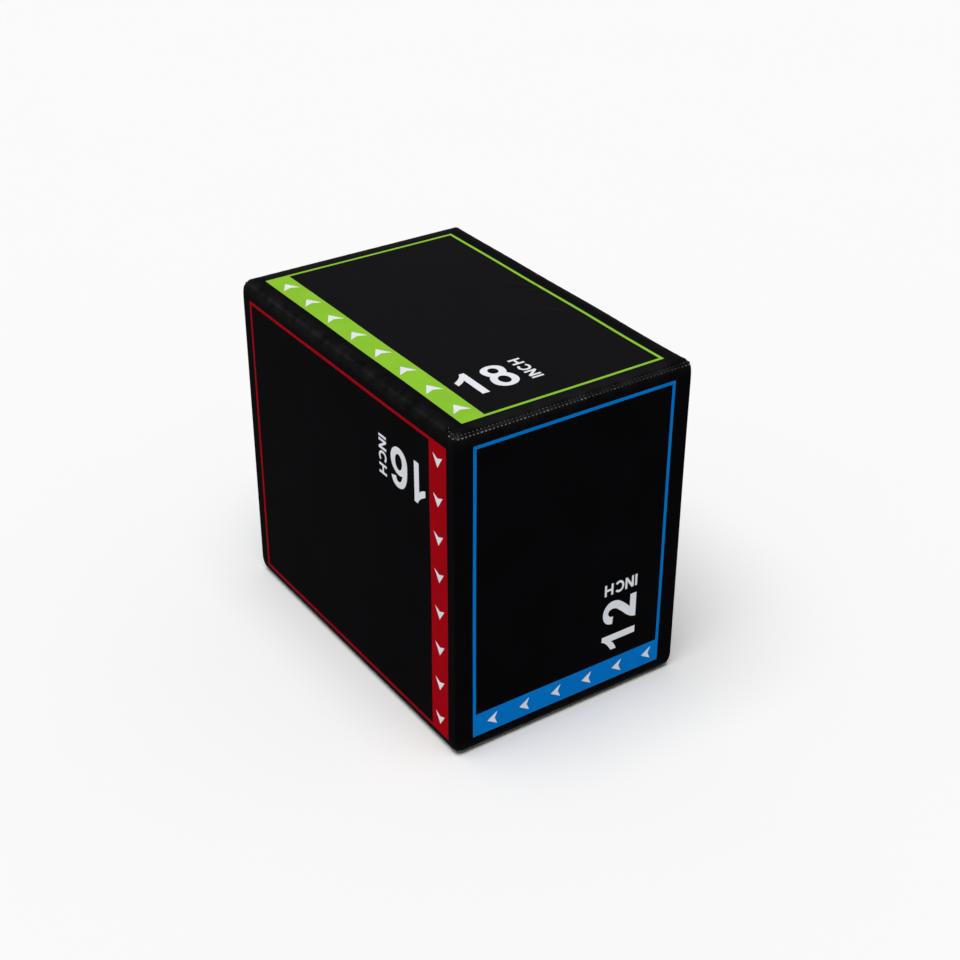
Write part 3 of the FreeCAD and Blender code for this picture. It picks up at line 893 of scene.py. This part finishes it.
def at_inset(inset):
    """The radius about the corner centres of a U-shaped line at this inset from the edges."""
    return ZIP_TURN - inset


def on_back(face, height):
    """A height over the floor as a place on an upright face."""
    return height - face.half[1]


# Numbers and words of the prints, drawn in millimetres from their lower left corner


def smooth_line(points, count=33):
    """An even run of points on the curve that passes through the given ones, each bend fixed by its
    neighbours."""
    points = np.array(points, float)
    padded = np.concatenate([2 * points[:1] - points[1:2], points, 2 * points[-1:] - points[-2:-1]])
    at = np.linspace(0, len(points) - 1 - 1e-9, count)
    start, t = at.astype(int), (at % 1)[:, None]
    a, b, c, d = (padded[start + k] for k in range(4))
    return 0.5 * (2 * b + (c - a) * t + (2 * a - 5 * b + 4 * c - d) * t**2 + (3 * b - a - 3 * c + d) * t**3)


def ellipse(centre, across, above, below, first=0.0, last=360.0, count=61):
    """Points of a round whose upper and lower halves have heights of their own."""
    angle = np.radians(np.linspace(first, last, count))
    tall = np.where(np.sin(angle) > 0, above, below)
    return np.stack([centre[0] + across * np.cos(angle), centre[1] + tall * np.sin(angle)], axis=-1)


def bar(corners, long=12, wide=5):
    """A four-cornered patch: straight lines between two opposite sides."""
    a, b, c, d = np.array(corners, float)
    shares = np.linspace(0, 1, long)[:, None]
    return ruled(a * (1 - shares) + d * shares, b * (1 - shares) + c * shares, np.linspace(0, 1, wide))


STROKE = np.linspace(0, 1, 5)


def figure_one():
    outer = smooth_line([(0, 36.4), (7.8, 41.6), (13.4, 47.2), (15.2, 51)], 13)
    inner = smooth_line([(0, 28.4), (5.6, 31.0), (10.2, 34.2), (12.4, 36.7)], 13)
    return [
        ruled(outer, inner, STROKE),
        bar([(12.4, 0), (21.7, 0), (21.7, 36.7), (12.4, 36.7)], 15),
        bar([(12.4, 36.7), (21.7, 36.7), (21.7, 51), (15.2, 51)], 5),
    ]


def figure_two():
    outer = [(1, 36.2), (3.0, 43.4), (8.6, 49), (16.8, 51), (25.1, 49), (31.4, 42.8), (33.0, 35.5)]
    outer += [(31.3, 27.6), (25.1, 18.9), (18.2, 11.4), (15.4, 9.4)]
    inner = [(11.2, 35.2), (12.1, 39.6), (16.3, 43.0), (20.9, 41.7), (22.6, 36.4), (20.9, 30.4)]
    inner += [(14.0, 21.9), (6.2, 13.6), (1.8, 6.5), (0, 0)]
    return [
        ruled(smooth_line(outer, 41), smooth_line(inner, 41), STROKE),
        bar([(0, 0), (33.1, 0), (33.1, 9.4), (15.4, 9.4)], 5, 9),
    ]


def figure_six():
    bowl = ruled(ellipse((16.9, 17.5), 16.8, 17.2, 17.5), ellipse((17.6, 18.3), 7.1, 9.9, 9.9), STROKE)
    outer = [(0.1, 15.5), (0.2, 26), (2, 36.5), (6.4, 45.4), (12.6, 49.9), (19.2, 51.2), (26.2, 49.8)]
    outer += [(30.8, 45.6), (32.9, 40.4)]
    arc = ellipse((16.9, 17.5), 16.8, 17.2, 17.5, 178, 116, 5)
    inner = [*arc.tolist(), (11.8, 38.2), (14.8, 42.4), (18.8, 43.6), (22.2, 42.0), (23.6, 38.0)]
    return [bowl, ruled(smooth_line(outer, 37), smooth_line(inner, 37), STROKE)]


def figure_eight():
    waist = 27.6
    upper, lower = ellipse((16.1, 39.4), 14.8, 11.7, 17.2), ellipse((16.1, 14.3), 16.1, 18.4, 14.4)
    upper[:, 1] = np.maximum(upper[:, 1], waist)
    lower[:, 1] = np.minimum(lower[:, 1], waist)
    return [
        ruled(upper, ellipse((16.1, 38.3), 6.1, 6.6, 6.6), STROKE),
        ruled(lower, ellipse((16.1, 15.6), 7.1, 8.6, 8.6), STROKE),
    ]


def unit_word():
    """The unit in capitals."""
    tall, thick = 15.0, 3.0

    def stem(left):
        return bar([(left, 0), (left + thick, 0), (left + thick, tall), (left, tall)], 7, 3)

    slope = bar([(8.2, 9.6), (14.8, 0), (14.8, 5.4), (8.2, tall)], 3, 7)
    bow = ellipse((26.9, 7.5), 7.2, 7.8, 7.8, 40, 320, 31)
    hollow = ellipse((26.9, 7.5), 4.2, 4.8, 4.8, 40, 320, 31)
    rung = bar([(39.0, 6.1), (45.7, 6.1), (45.7, 9.0), (39.0, 9.0)], 3, 4)
    curve = ruled(bow, hollow, STROKE[::2])
    return [stem(0), stem(5.2), slope, stem(14.8), curve, stem(36.0), rung, stem(45.7)]


FIGURES = {"1": figure_one, "2": figure_two, "6": figure_six, "8": figure_eight}
# The printed figures' height as a share of the drawn height, and the places of the second figure and the unit
FIGURE_SCALE = 50 / 51
SECOND_FIGURE = 35.1
UNIT_RIGHT = 92.2


def number_grids(number):
    """The two figures side by side, and the unit beside them, turned to read upwards."""
    first, second = (FIGURES[figure]() for figure in number)
    figures = first + [grid + (SECOND_FIGURE / FIGURE_SCALE, 0) for grid in second]
    unit = [np.stack([UNIT_RIGHT - grid[..., 1], grid[..., 0]], axis=-1) for grid in unit_word()]
    return [grid * FIGURE_SCALE for grid in figures] + unit


# Arrows and borders of the prints, in metres


def arrow_grids(prints, tip, scale):
    """A notched arrow that points up to its tip: two halves either side of its middle line."""
    wide, long = prints.arrow_width / 2, prints.arrow_length
    notch = np.array([0, prints.arrow_notch - long])
    halves = [bar([(0, 0), notch / 2, notch, (side * wide, -long)], 7, 7) for side in (-1, 1)]
    return [half * scale + tip for half in halves]


def border_grids(size, margins, widths):
    """A frame of eight patches round an open middle: a wide strip at its left and thin lines on its other
    sides."""
    left, far, foot, head = margins
    strip, line = widths[0], widths[1] / 2
    x = (left, left + strip, size[0] - far - line, size[0] - far + line)
    y = (foot - line, foot + line, size[1] - head - line, size[1] - head + line)

    def steps(low, high):
        return np.linspace(low, high, max(3, round((high - low) / SHEET_STEP)) + 1)

    cells = [(i, j) for i in range(3) for j in range(3) if (i, j) != (1, 1)]
    return [mesh_grid(steps(x[i], x[i + 1]), steps(y[j], y[j + 1])) for i, j in cells]


# Stitches, and the steps that build the model


def rows_of_stitches(name, rows, stitch, finish):
    """Stitches along rows of (face, places, headings, size): short tubes that arch out of the vinyl and
    dive in at their ends, each with a small slant and size of its own."""
    rings, sides = 5, 6
    u = np.linspace(-1, 1, rings)[:, None]
    turn = np.linspace(0, 2 * math.pi, sides, endpoint=False)[None]
    taper, rise, dive = 0.55, 0.28, 0.75
    thick = stitch.thickness / 2 * (1 - taper * u**4)
    arch = stitch.thickness * (rise - dive * u**4)
    tube = np.stack(
        np.broadcast_arrays(u * stitch.length / 2, thick * np.cos(turn), thick * np.sin(turn) + arch), axis=-1
    ).reshape(-1, 3)
    points, along, outward, sizes = [], [], [], []
    draw = np.random.default_rng(STITCH_SEED)
    for face, places, headings, size in rows:
        here, out = face.points(places)
        slant = stitch.stray * draw.standard_normal((len(places), 1)) * headings[:, ::-1] * (-1, 1)
        sizes.append(size * draw.uniform(1 - stitch.stray, 1 + stitch.stray, len(places)))
        ahead, _ = face.points(places + (headings + slant) * AHEAD)
        step = ahead - here
        step -= (step * out).sum(axis=-1, keepdims=True) * out
        points.append(here)
        along.append(step / np.linalg.norm(step, axis=-1, keepdims=True))
        outward.append(out)
    arrays = (np.concatenate(part) for part in (points, along, outward, sizes))
    return new_piece(name, *scattered(tube, tube_faces(rings, sides), *arrays), [finish])


def finish_named(context, name):
    """A finish that several operators share, made when it is first asked for."""
    made = bpy.data.materials.get(name)
    if made:
        return made
    scene = context.scene
    makers = {
        "black_vinyl": lambda: vinyl_finish(scene.plyo_cover),
        "knitted_backing": lambda: backing_finish(scene.plyo_cover),
        "sewing_thread": lambda: thread_finish(scene.plyo_stitch),
        "zip_nickel": lambda: metal_finish("zip_nickel", scene.plyo_zip.metal, 0.25),
    }
    return makers[name]()


def vinyl_sides(context):
    """The finishes of a vinyl sheet's outside and inside."""
    return [finish_named(context, name) for name in ("black_vinyl", "knitted_backing")]


class PLYO_OT_cover(bpy.types.Operator):
    """Lay the five plain panels of the cover over the foam"""

    bl_idname = "plyo.cover"
    bl_label = "Cover panels"

    def execute(self, context):
        finishes = vinyl_sides(context)
        for name in FACES:
            if name == "back":
                continue
            face = CoverFace(name, context.scene.plyo_cover)
            piece = laid_sheet(f"cover_{name}", face, [mesh_grid(*face.lines())], 0.0, -VINYL_THICK, finishes)
            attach(piece, "box")
            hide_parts(f"cover_{name}_panel")
            tuple(2 * face.reach)
        return {"FINISHED"}


class PLYO_OT_opening(bpy.types.Operator):
    """Lay the head and the edging of the back panel round its zip, and the flap that folds about its top
    edge"""

    bl_idname = "plyo.opening"
    bl_label = "Back panel and flap"

    def execute(self, context):
        finishes = vinyl_sides(context)
        face = CoverFace("back", context.scene.plyo_cover)
        top, fold = on_back(face, SLOT_TOP), on_back(face, FOLD_HEIGHT)
        window = at_inset(ZIP_INSET - SLOT_HALF)
        rim = at_inset(face.half[0] - face.reach[0])
        flat = at_inset(EDGE_ROUND)
        roll = np.linspace(flat, rim, ROLL_STEPS + 1)[1:]
        lip = np.concatenate([np.linspace(window, flat, LIP_STEPS + 1), roll])
        sides = u_line(face, window, top), u_line(face, rim, top, square=True)
        edging = ruled(*sides, (lip - window) / (rim - window))
        length = line_length(u_line(face, (window + rim) / 2, top))
        self.add_sheet("cover_back_edging", face, [edging], finishes, (rim - window, length))
        head = self.add_sheet(
            "cover_back_head",
            face,
            self.head_grids(face, lip - window, fold, top),
            finishes,
            (2 * face.reach[0], face.reach[1] - fold),
        )
        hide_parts("cover_back_panel")
        flap = laid_sheet("cover_flap", face, [self.flap_grid(face)], 0.0, -VINYL_THICK, finishes)
        fold_with_flap(flap)
        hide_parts("back_flap")
        return {"FINISHED"}

    def add_sheet(self, name, face, grids, finishes, flat):
        piece = laid_sheet(name, face, grids, 0.0, -VINYL_THICK, finishes)
        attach(piece, "box")
        return piece

    def head_grids(self, face, lip, fold, top):
        """A strip over both slots up to the seam, and the band between the slots down to the fold."""
        band = np.linspace(-1, 1, HEAD_STEPS[0] + 1) * (face.half[0] - ZIP_INSET - SLOT_HALF)
        slot = np.linspace(band[0] - 2 * SLOT_HALF, band[0], SLOT_STEPS + 1)
        across = np.concatenate([slot[0] - lip[:0:-1], slot[:-1], band, -slot[-2::-1], lip[1:] - slot[0]])
        roll = np.linspace(face.flat[1], face.reach[1], ROLL_STEPS + 1)
        roof = np.concatenate([np.linspace(top, face.flat[1], ROOF_STEPS + 1), roll[1:]])
        return [mesh_grid(across, roof), mesh_grid(band, np.linspace(fold, top, HEAD_STEPS[1] + 1))]

    def flap_grid(self, face):
        """Straight lines across from the flap's left edge to its right edge, both rounded at their lower
        ends."""
        radius = at_inset(ZIP_INSET + SLOT_HALF)
        x, y = face.half[0] - ZIP_TURN, on_back(face, ZIP_TURN)
        side = straight((x + radius, on_back(face, FOLD_HEIGHT)), (x + radius, y))
        edge = np.concatenate([side, quarter_round(radius, CORNER_STEPS) * (1, -1) + (x, y)])
        near = FLAP_EDGE / (2 * (x + radius))
        body = np.linspace(near[-1], 1 - near[-1], FLAP_STEPS + 1)
        shares = np.concatenate([near[:-1], body, 1 - near[-2::-1]])
        return ruled(edge * (-1, 1), edge, shares)


def fold_with_flap(piece):
    """Writes the place of a piece of the flap into its points."""
    FOLD_HEIGHT - FOLD_LENGTH
    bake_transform(piece)


class PLYO_OT_prints(bpy.types.Operator):
    """Print the border, the arrow strip, the arrows and the size number on each face"""

    bl_idname = "plyo.prints"
    bl_label = "Prints"

    def execute(self, context):
        prints, cover = context.scene.plyo_print, context.scene.plyo_cover
        colours = {name: getattr(prints, name) for name in ("lime", "red", "blue", "white")}
        inks = {name: ink_finish(f"ink_{name}", colour, cover) for name, colour in colours.items()}
        for name, design in PRINTS.items():
            face = CoverFace(name, cover)
            turn = np.array([design.right, design.up], float)
            size = abs(turn @ (2 * face.half))
            margins, widths = np.array(design.margins) * MM, np.array(design.widths) * MM
            border = border_grids(size, margins, widths)
            marks = [(grid * design.scales + design.corner) * MM for grid in number_grids(design.number)]
            first, step, count, scale = design.arrows
            for tip in first + step * np.arange(count):
                marks += arrow_grids(prints, np.array([margins[0] + widths[0] / 2, tip * MM]), scale)
            for words, grids, top, finish in (
                ("border", border, COLOUR_FILM, inks[design.ink]),
                ("marks", marks, WHITE_FILM, inks["white"]),
            ):
                grids = [(grid - size / 2) @ turn for grid in grids]
                piece = laid_sheet(f"print_{name}_{words}", face, grids, top, FILM_FOOT, [finish])
                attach(piece, "flap" if name == "back" else "box")
        return {"FINISHED"}


class PLYO_OT_stitches(bpy.types.Operator):
    """Sew two rows of stitches along the short upper and lower seams, and a row on either side of the zip"""

    bl_idname = "plyo.stitches"
    bl_label = "Stitches"

    def execute(self, context):
        stitch, cover = context.scene.plyo_stitch, context.scene.plyo_cover
        finish = finish_named(context, "sewing_thread")
        for end, sign in (("top", 1), ("bottom", -1)):
            lid = CoverFace(end, cover)
            lines = [line * (1, sign) for line in self.lid_lines(lid, stitch)]
            rows = [(lid, *even_walk(line, stitch.pitch), stitch.sunk) for line in lines]
            for name in ("front", "right", "back", "left"):
                wall = CoverFace(name, cover)
                height, reach = sign * (wall.reach[1] - stitch.wall_offset), wall.reach[0]
                wraps = {"right": (-reach, stitch.wrap - reach), "left": (reach - stitch.wrap, reach)}
                row = np.array([(across, height) for across in wraps.get(name, (-reach, reach))])
                rows.append((wall, *even_walk(row, stitch.pitch), 1.0))
            piece = rows_of_stitches(f"stitches_{end}", rows, stitch, finish)
            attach(piece, "box")
        back = CoverFace("back", cover)
        top, fold = on_back(back, SLOT_TOP), on_back(back, FOLD_HEIGHT)
        lip = u_line(back, at_inset(ZIP_INSET - SLOT_HALF - stitch.hem_offset), top)
        hem = u_line(back, at_inset(ZIP_INSET + SLOT_HALF + stitch.hem_offset), fold)
        rows = [(back, *even_walk(lip, stitch.pitch), 1.0)] + self.bar_tacks(back, stitch, top)
        outer = rows_of_stitches("stitches_zip_edging", rows, stitch, finish)
        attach(outer, "box")
        rows = [(back, *even_walk(hem, stitch.pitch), 1.0)]
        inner = rows_of_stitches("stitches_zip_flap", rows, stitch, finish)
        fold_with_flap(inner)
        return {"FINISHED"}

    def bar_tacks(self, face, stitch, top):
        """A close row of upright stitches over the top of each slot."""
        across = face.half[0] - ZIP_INSET + np.arange(-SLOT_HALF, SLOT_HALF, stitch.thickness)
        places = np.stack([across, np.full_like(across, top + stitch.length / 2)], axis=-1)
        upright = np.broadcast_to(np.array([0.0, 1.0]), places.shape)
        return [(face, places, upright, 1.0), (face, places * (-1, 1), upright, 1.0)]

    def lid_lines(self, face, stitch):
        """Rows inside the seams at the lid's short edges. The front one comes in from a hook on one long
        edge, turns two rounded corners and ends in a hook on the other long edge. The back one runs
        straight."""
        half = face.reach - stitch.lid_offset
        arc = quarter_round(stitch.turn, TURN_STEPS)
        hook = half - (stitch.turn, stitch.wrap) + arc * (1, -1)
        corner = half - stitch.turn + arc
        right = np.concatenate([hook[::-1], corner])
        front = np.concatenate([right, right[::-1] * (-1, 1)]) * (1, -1)
        return front, np.array([(stitch.turn - half[0], half[1]), (half[0] - stitch.turn, half[1])])


class PLYO_OT_zip(bpy.types.Operator):
    """Set the woven tapes and the rows of teeth in the back, and plate the slider, its pull and the stops"""

    bl_idname = "plyo.zip"
    bl_label = "Zip"

    def execute(self, context):
        zip_ = context.scene.plyo_zip
        face = Face(BOX_LOW, BOX_HIGH, EDGE_ROUND, *FACES["back"])
        tape, teeth = tape_finish(zip_), teeth_finish(zip_)
        top, fold, high = on_back(face, TEETH_TOP), on_back(face, FOLD_HEIGHT), on_back(face, TAPE_TOP)
        self.add_tape("tape_outer", face, self.tape_grid(face, TAPE_OUTER, high), tape)
        inner = self.add_tape("tape_inner", face, self.tape_grid(face, TAPE_INNER, fold), tape)
        ends = self.add_tape("tape_ends", face, self.end_grids(face, TAPE_INNER, fold, high), tape)
        length = line_length(u_line(face, at_inset(sum(TAPE_INNER) / 2), fold))
        2 * (high - fold)
        line = u_line(face, at_inset(ZIP_INSET), top)
        places, headings = even_walk(line, zip_.pitch)
        self.add_teeth("teeth_outer", face, zip_, places, headings, teeth)
        places, headings = places[1:] - headings[1:] * zip_.pitch / 2, -headings[1:]
        below = places[:, 1] < fold
        self.add_teeth("teeth_inner", face, zip_, places[below], headings[below], teeth)
        self.add_teeth("teeth_ends", face, zip_, places[~below], headings[~below], teeth)
        nickel = finish_named(context, "zip_nickel")
        for node in ("zip_slider", "zip_pull", "zip_stops"):
            dress_node(node, nickel)
        return {"FINISHED"}

    def tape_grid(self, face, insets, top):
        edges = [u_line(face, at_inset(inset), top) for inset in insets]
        return [ruled(*edges, np.linspace(0, 1, TAPE_STEPS + 1))]

    def end_grids(self, face, insets, low, high):
        """Two straight strips above the fold."""
        across = face.half[0] - np.linspace(*insets, TAPE_STEPS + 1)
        up = np.linspace(low, high, HEAD_STEPS[1])
        return [mesh_grid(across, up), mesh_grid(-across, up)]

    def add_tape(self, name, face, grids, finish):
        """A tape with fine ribs along it: a sine of the inset."""
        places, faces = joined(grids)
        points, outward = face.rounded(places)
        rib = TAPE_RIB * np.sin(2 * math.pi * face.inset(places) / TAPE_RIB_STEP)
        points = points + rib[:, None] * outward
        both, faces, _ = closed_shell(points, outward, faces, TAPE_LEVEL, TAPE_FOOT)
        piece = new_piece(name, both, faces, [finish])
        self.set_in(piece, "zip_tape")
        return piece

    def set_in(self, piece, slot):
        """Puts a piece of the zip in place of the solid that has its name: hangs it on the box, or, for a
        piece of the flap, writes its place into its points.
        """
        if piece.name.endswith("inner"):
            fold_with_flap(piece)
        else:
            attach(piece, "box")
        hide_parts(f"zip_{piece.name}")

    def add_teeth(self, name, face, zip_, places, headings, finish):
        """Moulded teeth: a six-sided section that is wide at the root, narrow at the neck and wide again at
        the head."""
        neck = np.array([1.7, 1.1]) * MM
        reach = -np.array([zip_.root, *neck, zip_.head])
        wide = np.array([0.75, 0.62, 0.5, 0.62]) * MM
        turn = np.radians([30, 90, 150, 210, 270, 330])
        half = 0.45 * MM
        tall = half * np.array([0.9, 1.0, 0.9, 0.75])
        x = wide[:, None] * np.cos(turn)
        z = zip_.top - half + tall[:, None] * np.sin(turn)
        tooth = np.stack([x, np.broadcast_to(reach[:, None], x.shape), z], axis=-1).reshape(-1, 3)
        points, outward = face.rounded(places)
        along = headings[:, :1] * face.right + headings[:, 1:] * face.up
        points, faces = scattered(tooth, tube_faces(4, 6)[:, ::-1], points, along, outward)
        self.set_in(new_piece(name, points, faces, [finish], sharp=30.0), "zip_teeth")


def dress_node(node, finish):
    """Gives a carried-over solid its finish."""
    for slot in frame["nodes"][node].material_slots:
        slot.material = finish


def pressed(points, low, high, radius):
    """Points drawn into a rounded box: each goes no farther than the radius from the nearest point of the
    box's core."""
    core = np.clip(points, low + radius, high - radius)
    off = points - core
    far = np.linalg.norm(off, axis=-1, keepdims=True)
    return core + off * np.minimum(1, radius / np.maximum(far, WELD))


class PLYO_OT_padding(bpy.types.Operator):
    """Cut the six foam slabs that lie under the cover"""

    bl_idname = "plyo.padding"
    bl_label = "Foam slabs"

    def execute(self, context):
        finish = foam_finish(context.scene.plyo_core)
        for name in FACES:
            low, high = (np.array(corner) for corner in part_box(f"foam_{name}"))
            sides = [Face(low, high, FOAM_ROUND, *axes) for axes in FACES.values()]
            points, faces = joined([side.rounded(mesh_grid(*side.lines(FOAM_STEP)))[0] for side in sides])
            points = pressed(points, FOAM_LOW + FOAM_SLACK, FOAM_HIGH - FOAM_SLACK, FOAM_PRESS)
            piece = new_piece(f"slab_{name}", points, faces, [finish])
            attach(piece, "box")
            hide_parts(f"foam_{name}")
        return {"FINISHED"}


class PLYO_OT_carcass(bpy.types.Operator):
    """Give the plywood panels their grain and layers, and the screws their plating"""

    bl_idname = "plyo.carcass"
    bl_label = "Plywood and screws"

    def execute(self, context):
        core = context.scene.plyo_core
        boards = [plywood_finish(core, axis) for axis in range(3)]
        for node in [f"ply_{name}" for name in FACES] + ["centre_brace"]:
            low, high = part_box(node)
            dress_node(node, boards[int(np.argmin(np.array(high - low)))])
        zinc = metal_finish("yellow_zinc", core.zinc, 0.3)
        for name in ("left", "right", "top", "bottom"):
            dress_node(f"screws_{name}", zinc)
        return {"FINISHED"}


class PLYO_OT_stage(bpy.types.Operator):
    """Set the floor, the lamp, the even light and the camera"""

    bl_idname = "plyo.stage"
    bl_label = "Stage"

    def execute(self, context):
        stage, scene = context.scene.plyo_stage, context.scene
        half = stage.floor_size / 2
        corners = np.array([(-half, -half), (half, -half), (half, half), (-half, half)])
        points = np.concatenate([corners, np.full((4, 1), FLOOR_LEVEL)], axis=1)
        floor = new_piece("floor", points, np.arange(4)[None], [floor_finish(stage)])
        lamp = bpy.data.objects.new("overhead_lamp", bpy.data.lights.new("overhead_lamp", "SUN"))
        lamp.data.energy, lamp.data.angle = stage.lamp, stage.lamp_width
        lamp.rotation_mode = "QUATERNION"
        lamp.rotation_quaternion = Vector(stage.lamp_from).to_track_quat("Z", "Y")
        camera = bpy.data.objects.new("camera", bpy.data.cameras.new("camera"))
        camera.data.lens, camera.data.sensor_width = stage.lens, stage.sensor
        camera.location = stage.eye
        camera.rotation_mode = "QUATERNION"
        sight = (Vector(stage.aim) - Vector(stage.eye)).to_track_quat("-Z", "Y")
        camera.rotation_quaternion = sight @ Quaternion((0, 0, 1), stage.roll)
        for item in (lamp, camera):
            scene.collection.objects.link(item)
        scene.camera = camera
        scene.world = bpy.data.worlds.new("even_light")
        scene.world.use_nodes = True
        rays = Shade(scene.world.node_tree).node("LightPath", out="Is Camera Ray")
        seen = rays + Shade(rays.tree, rays.socket.node.outputs["Is Glossy Ray"])
        seen = seen + Shade(rays.tree, rays.socket.node.outputs["Is Transmission Ray"])
        sky = scene.world.node_tree.nodes["Background"].inputs
        sky["Color"].default_value = (1, 1, 1, 1)
        rays.tree.links.new((stage.sky + (1 - stage.sky) * seen).socket, sky["Strength"])
        scene.view_settings.view_transform = "Standard"
        return {"FINISHED"}


class PLYO_PT_panel(bpy.types.Panel):
    """Sizes and colours of the plyo box, and the steps that build it"""

    bl_idname = "PLYO_PT_panel"
    bl_label = "Plyo box"
    bl_space_type = "VIEW_3D"
    bl_region_type = "UI"
    bl_category = "Plyo box"

    def draw(self, context):
        for pointer, group in SETTINGS.items():
            column = self.layout.column(align=True)
            column.label(text=group.__doc__)
            for name in group.__annotations__:
                column.prop(getattr(context.scene, pointer), name)
        for step in STEPS:
            self.layout.operator(step.bl_idname)


SETTINGS = {
    "plyo_cover": CoverSettings,
    "plyo_print": PrintSettings,
    "plyo_stitch": StitchSettings,
    "plyo_zip": ZipSettings,
    "plyo_core": CoreSettings,
    "plyo_stage": StageSettings,
}
STEPS = (
    PLYO_OT_cover,
    PLYO_OT_opening,
    PLYO_OT_prints,
    PLYO_OT_stitches,
    PLYO_OT_zip,
    PLYO_OT_padding,
    PLYO_OT_carcass,
    PLYO_OT_stage,
)
CLASSES = (*SETTINGS.values(), *STEPS, PLYO_PT_panel)


def register():
    for item in CLASSES:
        bpy.utils.register_class(item)
    for pointer, group in SETTINGS.items():
        setattr(bpy.types.Scene, pointer, bpy.props.PointerProperty(type=group))


def unregister():
    for pointer in SETTINGS:
        delattr(bpy.types.Scene, pointer)
    for item in reversed(CLASSES):
        bpy.utils.unregister_class(item)


def main():
    """Builds the whole model in order."""
    register()
    for step in STEPS:
        group, name = step.bl_idname.split(".")
        getattr(getattr(bpy.ops, group), name)()


if __name__ == "__main__":
    main()
